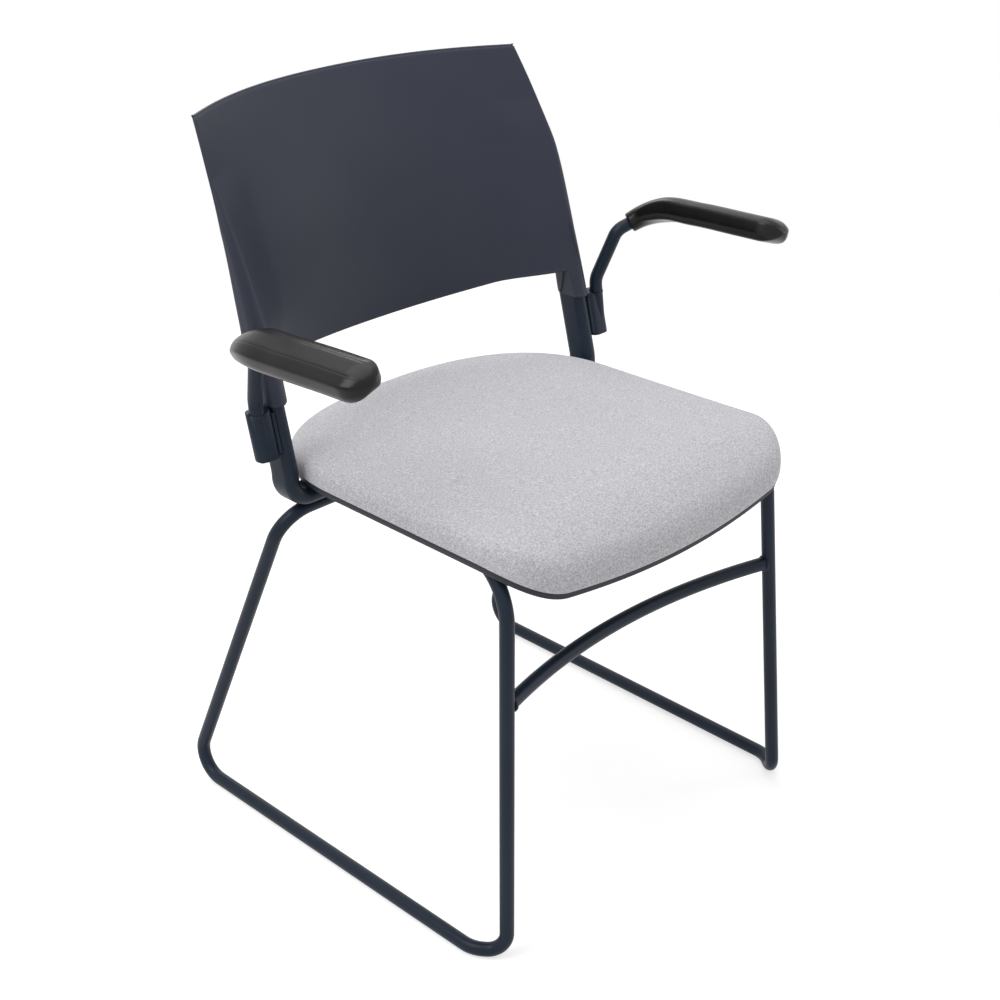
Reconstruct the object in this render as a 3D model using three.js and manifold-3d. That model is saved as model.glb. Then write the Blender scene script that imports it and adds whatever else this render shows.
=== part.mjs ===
// A sled base visitor chair: a bent steel tube frame on two runners, two oval steel uprights, a moulded
// back shell sleeved over them, an upholstered seat on a moulded pan, and a pair of plug-in arms.
// Millimetres, +Z up. The sitter faces -Y, and +X is the sitter's left.
// While a piece is built, y is measured back from the foot of the front legs and z up from the floor.
// The finished group is moved so that its origin is the middle of its footprint on the floor.
import * as THREE from "three";
import { mergeVertices } from "three/addons/utils/BufferGeometryUtils.js";
import Module from "manifold-3d";

const wasm = await Module();
wasm.setup();

// Clearances
const weldGap = 0.3; // between two pieces that are welded or rest on each other
const fitGap = 0.4; // between a tube and what it plugs into
const softGap = 1; // kept round the soft cushion
const overrun = 2; // how far a cut runs past the face that it opens

// Widths, each set from the uprights
const uprightHalf = 230;
const uprightThick = 18; // across the chair
const seatSideGap = 6; // between the seat and the uprights
const seatHalf = uprightHalf - uprightThick / 2 - seatSideGap;
const seatPastLeg = 12.4; // how far the seat's side stands outside the front leg's top
const legPastUpright = 8; // how far the rear leg's top stands outside the upright
const railDraw = 39.6; // how far the seat rail runs in toward its rear end
const uprightFootLength = 90; // how far the upright's foot reaches in under the seat
const shellPastUpright = 8; // how far the shell's edge stands outside the upright
const shellTopDraw = 13; // how far the shell's sides draw in toward the top

// Sled frame: round steel tube, one long bent piece on each side
const tubeRadius = 7.7;
const tubeSides = 12;
const bendSteps = 6;
const runnerHalf = 250;
const heelY = 507; // where the runner's line meets the rear leg's line
const footHalf = 227; // the front legs stand inside the runners
const footY = 1;
const toeY = 29.5; // where the diagonal foot meets the runner's line
const footBendRadius = 21.5;
const toeBendRadius = 34;
const heelBendRadius = 30;
const legTopHalf = seatHalf - seatPastLeg;
const legTopY = 26;
const legBendRadius = 60;
const rearLegTopHalf = uprightHalf + legPastUpright;
const crossY = 325;
const crossZ = 404;
const crossBendRadius = 38;
const crossJointHalf = 100;
const railEndHalf = legTopHalf - railDraw;
const railEndY = 340;

// Bowed stretcher between the front legs
const stretcherZ = 294;
const stretcherBow = 32;
const stretcherSteps = 14;
const stretcherShort = 2; // how far its ends stop before the middles of the legs

// Uprights: flat oval tube, bent inward onto the rear cross tube and drawn down at the top
const uprightDeep = 35; // front to back
const ovalSteps = 6;
const uprightKneeZ = 452.4;
const uprightKneeRadius = 50;
const uprightLean = 0.255; // run back for each unit of height above the knee
const uprightTopShare = 0.72; // of the oval's depth that is left at the drawn top
const uprightBendRadius = 24;
const uprightFootHalf = uprightHalf - uprightFootLength;

// Arm sockets, arm tubes and pads
const socketWide = 27.5; // across the chair, out to its round outer side
const socketDeep = 18;
const socketBottomZ = 477;
const socketHeight = 50;
const socketTopZ = socketBottomZ + socketHeight;
const socketForward = 8.3; // how far the socket's middle sits in front of the upright's
const armRadius = 7.7;
const armSides = 12;
const armBendSteps = 5;
const socketFloor = 7; // how far the tube stops above the socket's underside
const armEndZ = socketBottomZ + socketFloor;
// Each corner of the arm tube is placed from the one before it.
const armRise = { x: 0, y: 7.4, z: 57, radius: 30 };
const armElbow = { x: 11.2, y: -22.2, z: 63.5, radius: 18 };
const armNeck = { x: 23, y: -11, z: 10.5, radius: 20 };
const armHeel = { x: 9, y: -37, z: 16, radius: 60 };
const armTip = { x: 3, y: -144, z: 9 };
// The pad's middle line lies a little off the tube's.
const padCollarShare = 0.59; // of the way from the elbow to the neck
const padMiddleShare = 0.33; // of the way from the heel to the tip
const padForeShare = 0.78;
const padCollarOff = { x: 0, y: -0.7, z: 0.8 };
const padNeckOff = { x: -0.5, y: -3.5, z: 3 };
const padHeelOff = { x: 2, y: 5, z: 0 };
const padMiddleOff = { x: 3.5, y: 0, z: 2 };
const padForeOff = { x: 0.7, y: 0, z: 1.3 };
const padTipOff = { x: -0.5, y: -23, z: 1.5 };
const padWide = 48;
const padThick = 28;
const padRings = 22;
const padPoints = 20;
const padRoll = 0.1; // radians that the pad's top slopes down outward
const padSquareness = 2.6; // exponent of the pad's superellipse section
const padCollarWideShare = 0.46; // of the pad's full width at its collar
const padCollarThickShare = 0.84; // of the pad's full thickness at its collar
const padSpreadLength = 75; // length over which the collar widens to the full pad
const padNoseLength = 24; // length over which the tip rounds off
const padNoseShare = 0.1; // of the full section that is left at the very tip

// Seat pan and cushion, as outlines drawn in from the pan's rim
const seatFrontY = -22.5;
const seatFrontBow = 9;
const seatFrontRadius = 66;
const seatRearStartY = 268; // where the sides turn into the rounded rear
const seatRearY = 430;
const seatRearSquareness = 2.45;
const seatCentreY = 190;
const frontEdgeSteps = 5;
const cornerSteps = 8;
const sideSteps = 5;
const rearSteps = 10;
const waterfallDrop = 34.5;
const waterfallStartY = 54;
const panRimHeight = 6.5;
const panRimZ = 434.5; // underside of the pan's rim along the sides
const panLip = 2.4;
const panRebate = 3.6; // how far the pan steps in above its rim for the cushion's edge
const panSkin = 3;
const panBossRadius = 9;
const panRibDepth = 5;
const panRibWide = 2.5;
const panRibHalf = 120;
const panInsets = [10, 20, 34];
const panShares = [0.72, 0.5, 0.25, 0.05];
const cushionRearHeight = 18; // of the cushion's shoulder above the pan's rim
const cushionFrontHeight = 31;
const cushionCrown = 11;
const cushionBulge = 4;
const cushionShoulder = 24;
const cushionRollSteps = 6;
const cushionRollShare = 0.25; // of the shoulder's height where the roll begins
const cushionShares = [0.8, 0.66, 0.48, 0.28, 0.06];

// Back shell, a curved sheet with a sleeve down each side
const shellThick = 4.2;
const shellHeight = 247; // from the lower edge at the sides to the top
const shellBrow = 108; // how much of the height the drawn-in top corners take
const sleeveTail = 33.4; // how far a sleeve hangs below the sheet
const shellHalf = uprightHalf + shellPastUpright;
const shellTopHalf = shellHalf - shellTopDraw;
const shellDraw = 1.3; // exponent of that drawing in
const sleeveBottomZ = socketTopZ + 2 * weldGap;
const sleeveLength = 222.4;
const shellBottomZ = sleeveBottomZ + sleeveTail; // the lower edge at the sides
const shellTopZ = shellBottomZ + shellHeight;
const shellWaistZ = shellTopZ - shellBrow; // above this the sides draw in toward the top corners
const shellSag = 27; // how far the lower edge dips in the middle
const shellEdgeY = 344.5;
const shellSweep = 0.21;
const shellFlare = 0.00077;
const shellDepthBottom = 90;
const shellDepthTop = 65;
const shellRoundness = 2.2;
const shellColumns = 32;
const shellRows = 14;
const sleeveWall = 2;
const sleeveTopZ = sleeveBottomZ + sleeveLength;
const sleeveRings = 10;
const sleeveTaper = 1.5; // exponent of the sleeve's fading into the edge of the sheet
const sleeveTopShare = 0.09; // of the sleeve's depth that is left at its top
const sleeveTopThickShare = 0.3; // of the sleeve's thickness that is left at its top

// The uprights' drawn tops inside the sleeves
const drawLead = 2.4; // how far inside the sleeve the drawing starts
const uprightPlug = 77.4; // how far the upright reaches into the sleeve
const drawStartZ = sleeveBottomZ + drawLead;
const uprightTopZ = sleeveBottomZ + uprightPlug;

// Fasteners and small fittings
const screwShank = 2.4;
const screwHead = 5;
const screwHeadThick = 3;
const screwSides = 16;
const backScrewRise = 44.4; // above the sleeve's lower end
const backScrewZ = sleeveBottomZ + backScrewRise;
const backScrewLength = 10;
const armScrewLength = 15;
const tabThick = 3;
const tabHalfWidth = 12;
const tabReach = 24;
const frontTabY = 118;
const rearTabY = 270;
const seatScrewLength = 11;

// Finishes
const finish = (color, roughness, metalness) => new THREE.MeshStandardMaterial({ color, roughness, metalness });
const powderCoat = () => finish(0x2b3242, 0.42, 0.3);
const shellPlastic = () => finish(0x343a49, 0.5, 0);
const panPlastic = () => finish(0x2f323b, 0.6, 0);
const padUrethane = () => finish(0x1b1b1b, 0.3, 0);
const fabric = () => finish(0xbdbcc4, 0.95, 0);
const blackSteel = () => finish(0x202124, 0.45, 0.7);

const at = (x, y, z) => new THREE.Vector3(x, y, z);
const lerp = THREE.MathUtils.lerp;

// A path through corners rounded by bends, stepped once along each straight and evenly round each bend.
class BentPath extends THREE.Curve {
  constructor(corners, steps) {
    super();
    this.stations = [];
    corners.forEach(({ point, radius }, i) => {
      const before = i > 0 ? corners[i - 1].point : point.clone().multiplyScalar(2).sub(corners[1].point);
      const inward = point.clone().sub(before).normalize();
      if (radius) {
        const onward = corners[i + 1].point.clone().sub(point).normalize();
        this.addBend(point, inward, onward, radius, steps);
      } else {
        this.stations.push({ point, tangent: inward });
      }
    });
  }

  addBend(corner, inward, onward, radius, steps) {
    const turn = inward.angleTo(onward);
    const start = corner.clone().addScaledVector(inward, -radius * Math.tan(turn / 2));
    const toCentre = onward.clone().addScaledVector(inward, -onward.dot(inward)).normalize();
    const centre = start.clone().addScaledVector(toCentre, radius);
    for (let i = 0; i <= steps; i++) {
      const angle = (turn * i) / steps;
      const point = centre.clone()
        .addScaledVector(toCentre, -radius * Math.cos(angle))
        .addScaledVector(inward, radius * Math.sin(angle));
      const tangent = inward.clone().multiplyScalar(Math.cos(angle)).addScaledVector(toCentre, Math.sin(angle));
      this.stations.push({ point, tangent });
    }
  }

  get steps() {
    return this.stations.length - 1;
  }

  getUtoTmapping(u) {
    return u;
  }

  getPoint(t, target = new THREE.Vector3()) {
    const place = t * this.steps;
    const i = Math.min(Math.floor(place), this.steps - 1);
    return target.lerpVectors(this.stations[i].point, this.stations[i + 1].point, place - i);
  }

  getTangent(t, target = new THREE.Vector3()) {
    return target.copy(this.stations[Math.round(t * this.steps)].tangent);
  }

  frames() {
    return this.computeFrenetFrames(this.steps, false);
  }
}

// A regular polygon drawn round the true circle, with the middle of one side at the given angle.
function roundSection(radius, sides, turn = 0) {
  const corner = radius / Math.cos(Math.PI / sides);
  const points = Array.from({ length: sides }, (_, i) => {
    const angle = turn + ((i + 0.5) * 2 * Math.PI) / sides;
    return new THREE.Vector2(corner * Math.cos(angle), corner * Math.sin(angle));
  });
  return new THREE.Shape(points);
}

// Points of a flat oval, with its round ends along the second axis.
function ovalPoints(thick, deep) {
  const radius = thick / 2;
  const reach = deep / 2 - radius;
  const points = [];
  for (const end of [1, -1]) {
    for (let i = 0; i <= ovalSteps; i++) {
      const angle = (Math.PI * i) / ovalSteps + (end === 1 ? 0 : Math.PI);
      points.push(new THREE.Vector2(radius * Math.cos(angle), end * reach + radius * Math.sin(angle)));
    }
  }
  return points;
}

function sweep(path, steps, section) {
  return new THREE.ExtrudeGeometry(section, { steps, extrudePath: path });
}

function faceOutward(points, index) {
  let volume = 0;
  for (let i = 0; i < index.length; i += 3) {
    const [a, b, c] = [points[index[i]], points[index[i + 1]], points[index[i + 2]]];
    volume += a.dot(b.clone().cross(c));
  }
  const geometry = new THREE.BufferGeometry().setFromPoints(points);
  geometry.setIndex(volume < 0 ? index.toReversed() : index);
  return geometry;
}

// Closes a stack of rings with equal numbers of points into one body, with a fan over each end.
function skin(rings) {
  const count = rings[0].length;
  const points = rings.flat();
  const index = [];
  for (let r = 0; r + 1 < rings.length; r++) {
    for (let i = 0; i < count; i++) {
      const a = r * count + i;
      const b = r * count + ((i + 1) % count);
      index.push(a, b, b + count, a, b + count, a + count);
    }
  }
  const lastStart = (rings.length - 1) * count;
  for (const [ring, start, first] of [[rings[0], 0, true], [rings.at(-1), lastStart, false]]) {
    const hub = points.length;
    points.push(ring.reduce((sum, p) => sum.add(p), at(0, 0, 0)).divideScalar(count));
    for (let i = 0; i < count; i++) {
      const a = start + i;
      const b = start + ((i + 1) % count);
      index.push(hub, first ? b : a, first ? a : b);
    }
  }
  return faceOutward(points, index);
}

// Closes a front and a back grid of points into a sheet with square edges.
function sheet(front, back) {
  const rows = front.length;
  const columns = front[0].length;
  const points = [...front.flat(), ...back.flat()];
  const index = [];
  const quad = (a, b, c, d) => index.push(a, b, c, a, c, d);
  const place = (side, r, c) => side * rows * columns + r * columns + c;
  for (let r = 0; r + 1 < rows; r++) {
    for (let c = 0; c + 1 < columns; c++) {
      quad(place(0, r, c), place(0, r, c + 1), place(0, r + 1, c + 1), place(0, r + 1, c));
      quad(place(1, r, c), place(1, r + 1, c), place(1, r + 1, c + 1), place(1, r, c + 1));
    }
    const right = columns - 1;
    quad(place(0, r + 1, 0), place(1, r + 1, 0), place(1, r, 0), place(0, r, 0));
    quad(place(0, r, right), place(1, r, right), place(1, r + 1, right), place(0, r + 1, right));
  }
  for (let c = 0; c + 1 < columns; c++) {
    const top = rows - 1;
    quad(place(0, 0, c), place(1, 0, c), place(1, 0, c + 1), place(0, 0, c + 1));
    quad(place(0, top, c + 1), place(1, top, c + 1), place(1, top, c), place(0, top, c));
  }
  return faceOutward(points, index);
}

function solid(geometry) {
  const bare = geometry.clone();
  bare.deleteAttribute("normal");
  bare.deleteAttribute("uv");
  const merged = mergeVertices(bare);
  return new wasm.Manifold(new wasm.Mesh({
    numProp: 3,
    vertProperties: merged.attributes.position.array,
    triVerts: new Uint32Array(merged.index.array),
  }));
}

function geometryOf(body) {
  const made = body.getMesh();
  const geometry = new THREE.BufferGeometry();
  geometry.setAttribute("position", new THREE.BufferAttribute(made.vertProperties, 3));
  geometry.setIndex(new THREE.BufferAttribute(made.triVerts, 1));
  return geometry;
}

// A cylinder between two points, for screws, bores and bosses.
function rod(from, to, radius, sides = screwSides) {
  const geometry = new THREE.CylinderGeometry(radius, radius, from.distanceTo(to), sides);
  const turn = new THREE.Quaternion().setFromUnitVectors(at(0, 1, 0), to.clone().sub(from).normalize());
  geometry.applyMatrix4(new THREE.Matrix4().compose(from.clone().lerp(to, 0.5), turn, at(1, 1, 1)));
  return solid(geometry);
}

function block(centre, x, y, z) {
  return solid(new THREE.BoxGeometry(x, y, z).translate(centre.x, centre.y, centre.z));
}

const along = (point, direction, length) => point.clone().addScaledVector(direction, length);

// A screw whose head bears at a seat, just clear of it, with its shank running on in a direction.
function screw({ seat, direction, length }) {
  const bearing = along(seat, direction, -weldGap);
  const crown = along(bearing, direction, -screwHeadThick);
  const head = rod(crown, bearing, screwHead);
  return head.add(rod(crown.lerp(bearing, 0.5), along(seat, direction, length), screwShank));
}

function screwHole({ seat, direction, length }) {
  return rod(along(seat, direction, -overrun), along(seat, direction, length + fitGap), screwShank + fitGap);
}

// Heights of the stack under the seat: cross tube, upright foot, rail
const tubeReach = tubeRadius / Math.cos(Math.PI / tubeSides); // out to the corners of the faceted tube
const uprightFootZ = crossZ + tubeReach + weldGap + uprightThick / 2;
const railZ = uprightFootZ + uprightThick / 2 + weldGap + tubeReach;

// The sled tube of one side: seat rail, front leg, foot, runner, rear leg and its share of the rear cross run.
function sledPath(side) {
  return new BentPath([
    { point: at(side * railEndHalf, railEndY, railZ) },
    { point: at(side * legTopHalf, legTopY, railZ), radius: legBendRadius },
    { point: at(side * footHalf, footY, tubeRadius), radius: footBendRadius },
    { point: at(side * runnerHalf, toeY, tubeRadius), radius: toeBendRadius },
    { point: at(side * runnerHalf, heelY, tubeRadius), radius: heelBendRadius },
    { point: at(side * rearLegTopHalf, crossY, crossZ), radius: crossBendRadius },
    { point: at(side * crossJointHalf, crossY, crossZ) },
  ], bendSteps);
}

// The station where the runner starts, and the turn that lays a flat of the tube on the floor there.
function turnToFloor(path) {
  const runnerStart = 3 * (bendSteps + 1);
  const frames = path.frames();
  return Math.atan2(-frames.binormals[runnerStart].z, -frames.normals[runnerStart].z);
}

function sledTube(side, extra = 0) {
  const path = sledPath(side);
  return solid(sweep(path, path.steps, roundSection(tubeRadius + extra, tubeSides, turnToFloor(path))));
}

function rearCrossTube() {
  const half = crossJointHalf - weldGap;
  const line = new THREE.LineCurve3(at(half, crossY, crossZ), at(-half, crossY, crossZ));
  return sweep(line, 1, roundSection(tubeRadius, tubeSides));
}

// Where the middle of a front leg lies at a height.
function legAt(z) {
  const share = (z - tubeRadius) / (railZ - tubeRadius);
  return { half: lerp(footHalf, legTopHalf, share), y: lerp(footY, legTopY, share) };
}

// The stretcher bows back in one smooth curve and is coped to both front legs.
class BowPath extends THREE.Curve {
  getPoint(t, target = new THREE.Vector3()) {
    const { half, y } = legAt(stretcherZ);
    const across = 2 * t - 1;
    return target.set(across * (half - stretcherShort), y + stretcherBow * (1 - across * across), stretcherZ);
  }
}

function stretcher() {
  const bar = solid(sweep(new BowPath(), stretcherSteps, roundSection(tubeRadius, tubeSides)));
  return bar.subtract(sledTube(1, weldGap)).subtract(sledTube(-1, weldGap));
}

// Where the middle of an upright lies at a height above its knee.
const uprightY = (z) => crossY + uprightLean * (z - uprightKneeZ);

function uprightPath(side, extra) {
  const top = uprightTopZ + extra;
  return new BentPath([
    { point: at(side * uprightHalf, uprightY(top), top) },
    { point: at(side * uprightHalf, uprightY(drawStartZ), drawStartZ) },
    { point: at(side * uprightHalf, crossY, uprightKneeZ), radius: uprightKneeRadius },
    { point: at(side * uprightHalf, crossY, uprightFootZ), radius: uprightBendRadius },
    { point: at(side * uprightFootHalf, crossY, uprightFootZ) },
  ], bendSteps);
}

function upright(side, extra = 0) {
  const path = uprightPath(side, extra);
  const frames = path.frames();
  const rings = path.stations.map(({ point }, i) => {
    const deep = uprightDeep * (i === 0 ? uprightTopShare : 1);
    return ovalPoints(uprightThick + 2 * extra, deep + 2 * extra)
      .map((p) => along(along(point, frames.normals[i], p.x), frames.binormals[i], p.y));
  });
  return solid(skin(rings));
}

// Arm sockets stand against the outer faces of the uprights and lean with them.
const socketHalf = uprightHalf + uprightThick / 2 + weldGap + socketWide / 2;
const armFootHalf = socketHalf + (socketWide - socketDeep) / 2;

const shifted = (point, { x, y, z }) => point.clone().add(at(x, y, z));

// The corners of the left arm tube, from its end in the socket to its end in the pad.
const armCorners = [{ point: at(armFootHalf, uprightY(armEndZ) - socketForward, armEndZ) }];
for (const run of [armRise, armElbow, armNeck, armHeel, armTip]) {
  armCorners.push({ point: shifted(armCorners.at(-1).point, run), radius: run.radius });
}

const onSide = (side, point) => at(side * point.x, point.y, point.z);

function armPath(side, extra) {
  const corners = armCorners.map(({ point, radius }) => ({ point: onSide(side, point), radius }));
  corners[0].point.z -= extra;
  corners.at(-1).point.y -= extra;
  return new BentPath(corners, armBendSteps);
}

function armTube(side, extra = 0) {
  const path = armPath(side, extra);
  return solid(sweep(path, path.steps, roundSection(armRadius + extra, armSides)));
}

// The arm screw goes up through the socket's floor into the end of the arm tube.
function armScrew(side) {
  const seat = onSide(side, armCorners[0].point).setZ(socketBottomZ);
  return { seat, direction: at(0, 0, 1), length: armScrewLength };
}

function armSocket(side) {
  const outline = ovalPoints(socketDeep, socketWide);
  const ring = (z) => outline.map((p) => at(side * socketHalf + p.y, uprightY(z) - socketForward + p.x, z));
  return solid(skin([ring(socketBottomZ), ring(socketTopZ)]))
    .subtract(armTube(side, fitGap))
    .subtract(screwHole(armScrew(side)));
}

function padLine(side) {
  const [, , elbow, neck, heel, tip] = armCorners.map(({ point }) => point);
  const places = [
    shifted(elbow.clone().lerp(neck, padCollarShare), padCollarOff),
    shifted(neck, padNeckOff),
    shifted(heel, padHeelOff),
    shifted(heel.clone().lerp(tip, padMiddleShare), padMiddleOff),
    shifted(heel.clone().lerp(tip, padForeShare), padForeOff),
    shifted(tip, padTipOff),
  ];
  return new THREE.CatmullRomCurve3(places.map((place) => onSide(side, place)));
}

// The pad is moulded round the end of the arm tube, spreading from a collar to a broad, blunt tip.
function armPad(side) {
  const line = padLine(side);
  const length = line.getLength();
  const rings = Array.from({ length: padRings + 1 }, (_, i) => {
    const share = (1 - Math.cos((Math.PI * i) / padRings)) / 2;
    const spread = Math.sin((Math.min((share * length) / padSpreadLength, 1) * Math.PI) / 2);
    const toTip = Math.min(((1 - share) * length) / padNoseLength, 1);
    const nose = Math.max(Math.sqrt(1 - (1 - toTip) ** 2), padNoseShare);
    const wide = padWide * nose * lerp(padCollarWideShare, 1, spread);
    const thick = padThick * nose * lerp(padCollarThickShare, 1, spread);
    return padRing(line, share, wide, thick, side * padRoll);
  });
  return solid(skin(rings)).subtract(armTube(side, fitGap));
}

function padRing(line, share, wide, thick, roll) {
  const middle = line.getPointAt(share);
  const across = at(Math.cos(roll), 0, -Math.sin(roll));
  const up = across.clone().cross(line.getTangentAt(share)).normalize();
  if (up.z < 0) up.negate();
  const power = 2 / padSquareness;
  return Array.from({ length: padPoints }, (_, i) => {
    const [c, s] = [Math.cos((2 * Math.PI * i) / padPoints), Math.sin((2 * Math.PI * i) / padPoints)];
    const x = (wide / 2) * Math.sign(c) * Math.abs(c) ** power;
    const z = (thick / 2) * Math.sign(s) * Math.abs(s) ** power;
    return along(along(middle, across, x), up, z);
  });
}

// The seat's front is a shallow parabola that runs into each round corner without a kink.
const cornerX = seatHalf - seatFrontRadius;
const bowHalf = (cornerX + Math.sqrt(cornerX ** 2 + 8 * seatFrontBow * seatFrontRadius)) / 2;
const bowSlope = Math.atan((2 * seatFrontBow) / bowHalf);
const cornerY = seatFrontY + seatFrontBow + seatFrontRadius * Math.cos(bowSlope);

// The seat's outline in plan, drawn in by an inset, with a fixed number of points.
function seatOutline(inset) {
  const front = seatFrontY + inset;
  const round = seatFrontRadius - inset;
  const bowEnd = { x: cornerX + round * Math.sin(bowSlope), y: cornerY - round * Math.cos(bowSlope) };
  const half = [];
  for (let i = 0; i < frontEdgeSteps; i++) {
    const share = i / frontEdgeSteps;
    half.push([bowEnd.x * share, lerp(front, bowEnd.y, share * share)]);
  }
  for (let i = 0; i <= cornerSteps; i++) {
    const angle = lerp(bowSlope, Math.PI / 2, i / cornerSteps);
    half.push([cornerX + round * Math.sin(angle), cornerY - round * Math.cos(angle)]);
  }
  for (let i = 1; i < sideSteps; i++) {
    const share = i / sideSteps;
    half.push([seatHalf - inset, lerp(cornerY, seatRearStartY, share)]);
  }
  for (let i = 0; i <= rearSteps; i++) {
    const angle = (Math.PI / 2) * (i / rearSteps);
    const power = 2 / seatRearSquareness;
    half.push([(seatHalf - inset) * Math.abs(Math.cos(angle)) ** power,
      seatRearStartY + (seatRearY - seatRearStartY - inset) * Math.sin(angle) ** power]);
  }
  const mirrored = half.slice(1, -1).reverse().map(([x, y]) => [-x, y]);
  return [...half, ...mirrored].map(([x, y]) => new THREE.Vector2(x, y));
}

// How far the seat has fallen away at a distance behind the front legs.
function waterfall(y) {
  const share = Math.max(waterfallStartY - y, 0) / (waterfallStartY - seatFrontY);
  return waterfallDrop * share * share;
}

// One ring of the seat: an inset outline, optionally drawn in toward the seat's middle, at a height.
function seatRing(inset, height, scale = 1) {
  return seatOutline(inset).map((p) => {
    const x = p.x * scale;
    const y = lerp(seatCentreY, p.y, scale);
    return at(x, y, height(y) - waterfall(y));
  });
}

const panUnderZ = railZ + tubeReach + weldGap;
const panTopZ = panUnderZ + panSkin;
const panStepZ = panRimZ + panRimHeight;

// The pan is an inverted tray: its rim hangs round the rails and is stepped in for the cushion's edge.
function seatPan() {
  const level = (z) => () => z;
  const under = level(panUnderZ);
  const over = level(panTopZ);
  const reach = panInsets.at(-1);
  const wall = panRebate + panLip;
  const rings = [
    ...panShares.map((scale) => seatRing(reach, under, scale)).reverse(),
    ...panInsets.map((inset) => seatRing(inset, under)).reverse(),
    seatRing(wall, under),
    seatRing(wall, level(panStepZ - panLip)),
    seatRing(panLip, level(panStepZ - panLip)),
    seatRing(panLip, level(panRimZ)),
    seatRing(0, level(panRimZ)),
    seatRing(0, level(panStepZ)),
    seatRing(panRebate, level(panStepZ)),
    seatRing(panRebate, over),
    ...panInsets.map((inset) => seatRing(inset, over)),
    ...panShares.map((scale) => seatRing(reach, over, scale)),
  ];
  let body = solid(skin(rings));
  const rooted = panUnderZ + panSkin / 2;
  for (const { seat } of seatScrews()) {
    const foot = seat.clone().setZ(railZ + tabThick / 2 + weldGap);
    body = body.add(rod(foot, foot.clone().setZ(rooted), panBossRadius));
  }
  for (const rib of panRibs(rooted)) body = body.add(rib);
  return seatScrews().reduce((made, place) => made.subtract(screwHole(place)), body);
}

// Stiffening ribs under the middle of the pan, clear of the rails.
function panRibs(rooted) {
  const tall = panRibDepth + rooted - panUnderZ;
  const z = rooted - tall / 2;
  const deep = rearTabY - frontTabY;
  const middle = (frontTabY + rearTabY) / 2;
  const lengthwise = [-1, 0, 1].map((i) => block(at((i * panRibHalf) / 2, middle, z), panRibWide, deep, tall));
  const across = [-1, 0, 1].map((i) => block(at(0, middle + (i * deep) / 2, z), 2 * panRibHalf, panRibWide, tall));
  return [...lengthwise, ...across];
}

// The cushion wraps the pan's edge, rolls over at the shoulder and swells to a low crown.
function seatCushion() {
  const base = panStepZ + weldGap;
  const shoulder = (y) => THREE.MathUtils.mapLinear(y, seatFrontY, seatRearY, cushionFrontHeight, cushionRearHeight);
  const raised = (share, crown = 0) => (y) => base + shoulder(y) * share + cushionCrown * crown;
  const under = () => panTopZ + softGap;
  const inner = panRebate - softGap;
  const reach = panInsets.at(-1);
  const rings = [
    ...panShares.map((scale) => seatRing(reach, under, scale)).reverse(),
    ...panInsets.map((inset) => seatRing(inset, under)).reverse(),
    seatRing(inner, under),
    seatRing(inner, () => base),
    seatRing(0, () => base),
    seatRing(-cushionBulge, raised(cushionRollShare)),
  ];
  for (let i = 1; i <= cushionRollSteps; i++) {
    const angle = (Math.PI / 2) * (i / cushionRollSteps);
    const inset = cushionShoulder * (1 - Math.cos(angle)) - cushionBulge;
    rings.push(seatRing(inset, raised(lerp(cushionRollShare, 1, Math.sin(angle)))));
  }
  for (const share of cushionShares) {
    const crown = Math.cos((Math.PI / 2) * share) ** 2 + (1 - share);
    rings.push(seatRing(cushionShoulder - cushionBulge, raised(1, crown / 2), share));
  }
  return skin(rings);
}

// Where a side rail's middle lies at a distance back.
const railHalfAt = (y) => lerp(legTopHalf, railEndHalf, (y - legTopY) / (railEndY - legTopY));

function seatScrew(side, y) {
  const seat = at(side * (railHalfAt(y) - tabReach), y, railZ - tabThick / 2);
  return { seat, direction: at(0, 0, 1), length: seatScrewLength };
}

const seatScrews = () => [1, -1].flatMap((side) => [seatScrew(side, frontTabY), seatScrew(side, rearTabY)]);

// A tab is welded to the inside of a rail and carries one seat screw.
function seatTab(side, y) {
  const place = seatScrew(side, y);
  const { seat } = place;
  const middle = at(seat.x + (side * tabReach) / 2, y, railZ);
  const plate = block(middle, tabReach, 2 * tabHalfWidth, tabThick)
    .add(rod(seat, seat.clone().setZ(railZ + tabThick / 2), tabHalfWidth));
  return plate.subtract(sledTube(side, weldGap)).subtract(screwHole(place));
}

// The side edge of the back shell at a height.
function shellEdge(z) {
  const draw = THREE.MathUtils.clamp((z - shellWaistZ) / (shellTopZ - shellWaistZ), 0, 1);
  const rise = z - shellBottomZ;
  return {
    half: lerp(shellHalf, shellTopHalf, draw ** shellDraw),
    y: shellEdgeY + shellSweep * rise + shellFlare * rise * rise,
  };
}

// The back shell's front face at a share across (-1 to 1) and a share up (0 to 1).
function shellPoint(across, up) {
  const z = lerp(shellBottomZ, shellTopZ, up);
  const { half, y } = shellEdge(z);
  const hollow = 1 - Math.abs(across) ** shellRoundness;
  return at(across * half, y + lerp(shellDepthBottom, shellDepthTop, up) * hollow, z - shellSag * (1 - up) * hollow);
}

function shellNormal(across, up) {
  const stepShare = 1e-3;
  const [left, right] = [Math.max(across - stepShare, -1), Math.min(across + stepShare, 1)];
  const [below, above] = [Math.max(up - stepShare, 0), Math.min(up + stepShare, 1)];
  const alongX = shellPoint(right, up).sub(shellPoint(left, up));
  const alongZ = shellPoint(across, above).sub(shellPoint(across, below));
  return alongZ.cross(alongX).normalize();
}

function shellPanel() {
  const shares = Array.from({ length: shellColumns + 1 }, (_, c) => (2 * c) / shellColumns - 1);
  const front = [];
  const back = [];
  for (let r = 0; r <= shellRows; r++) {
    const up = r / shellRows;
    front.push(shares.map((across) => shellPoint(across, up)));
    back.push(shares.map((across) => along(shellPoint(across, up), shellNormal(across, up), shellThick)));
  }
  return solid(sheet(front, back));
}

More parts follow.
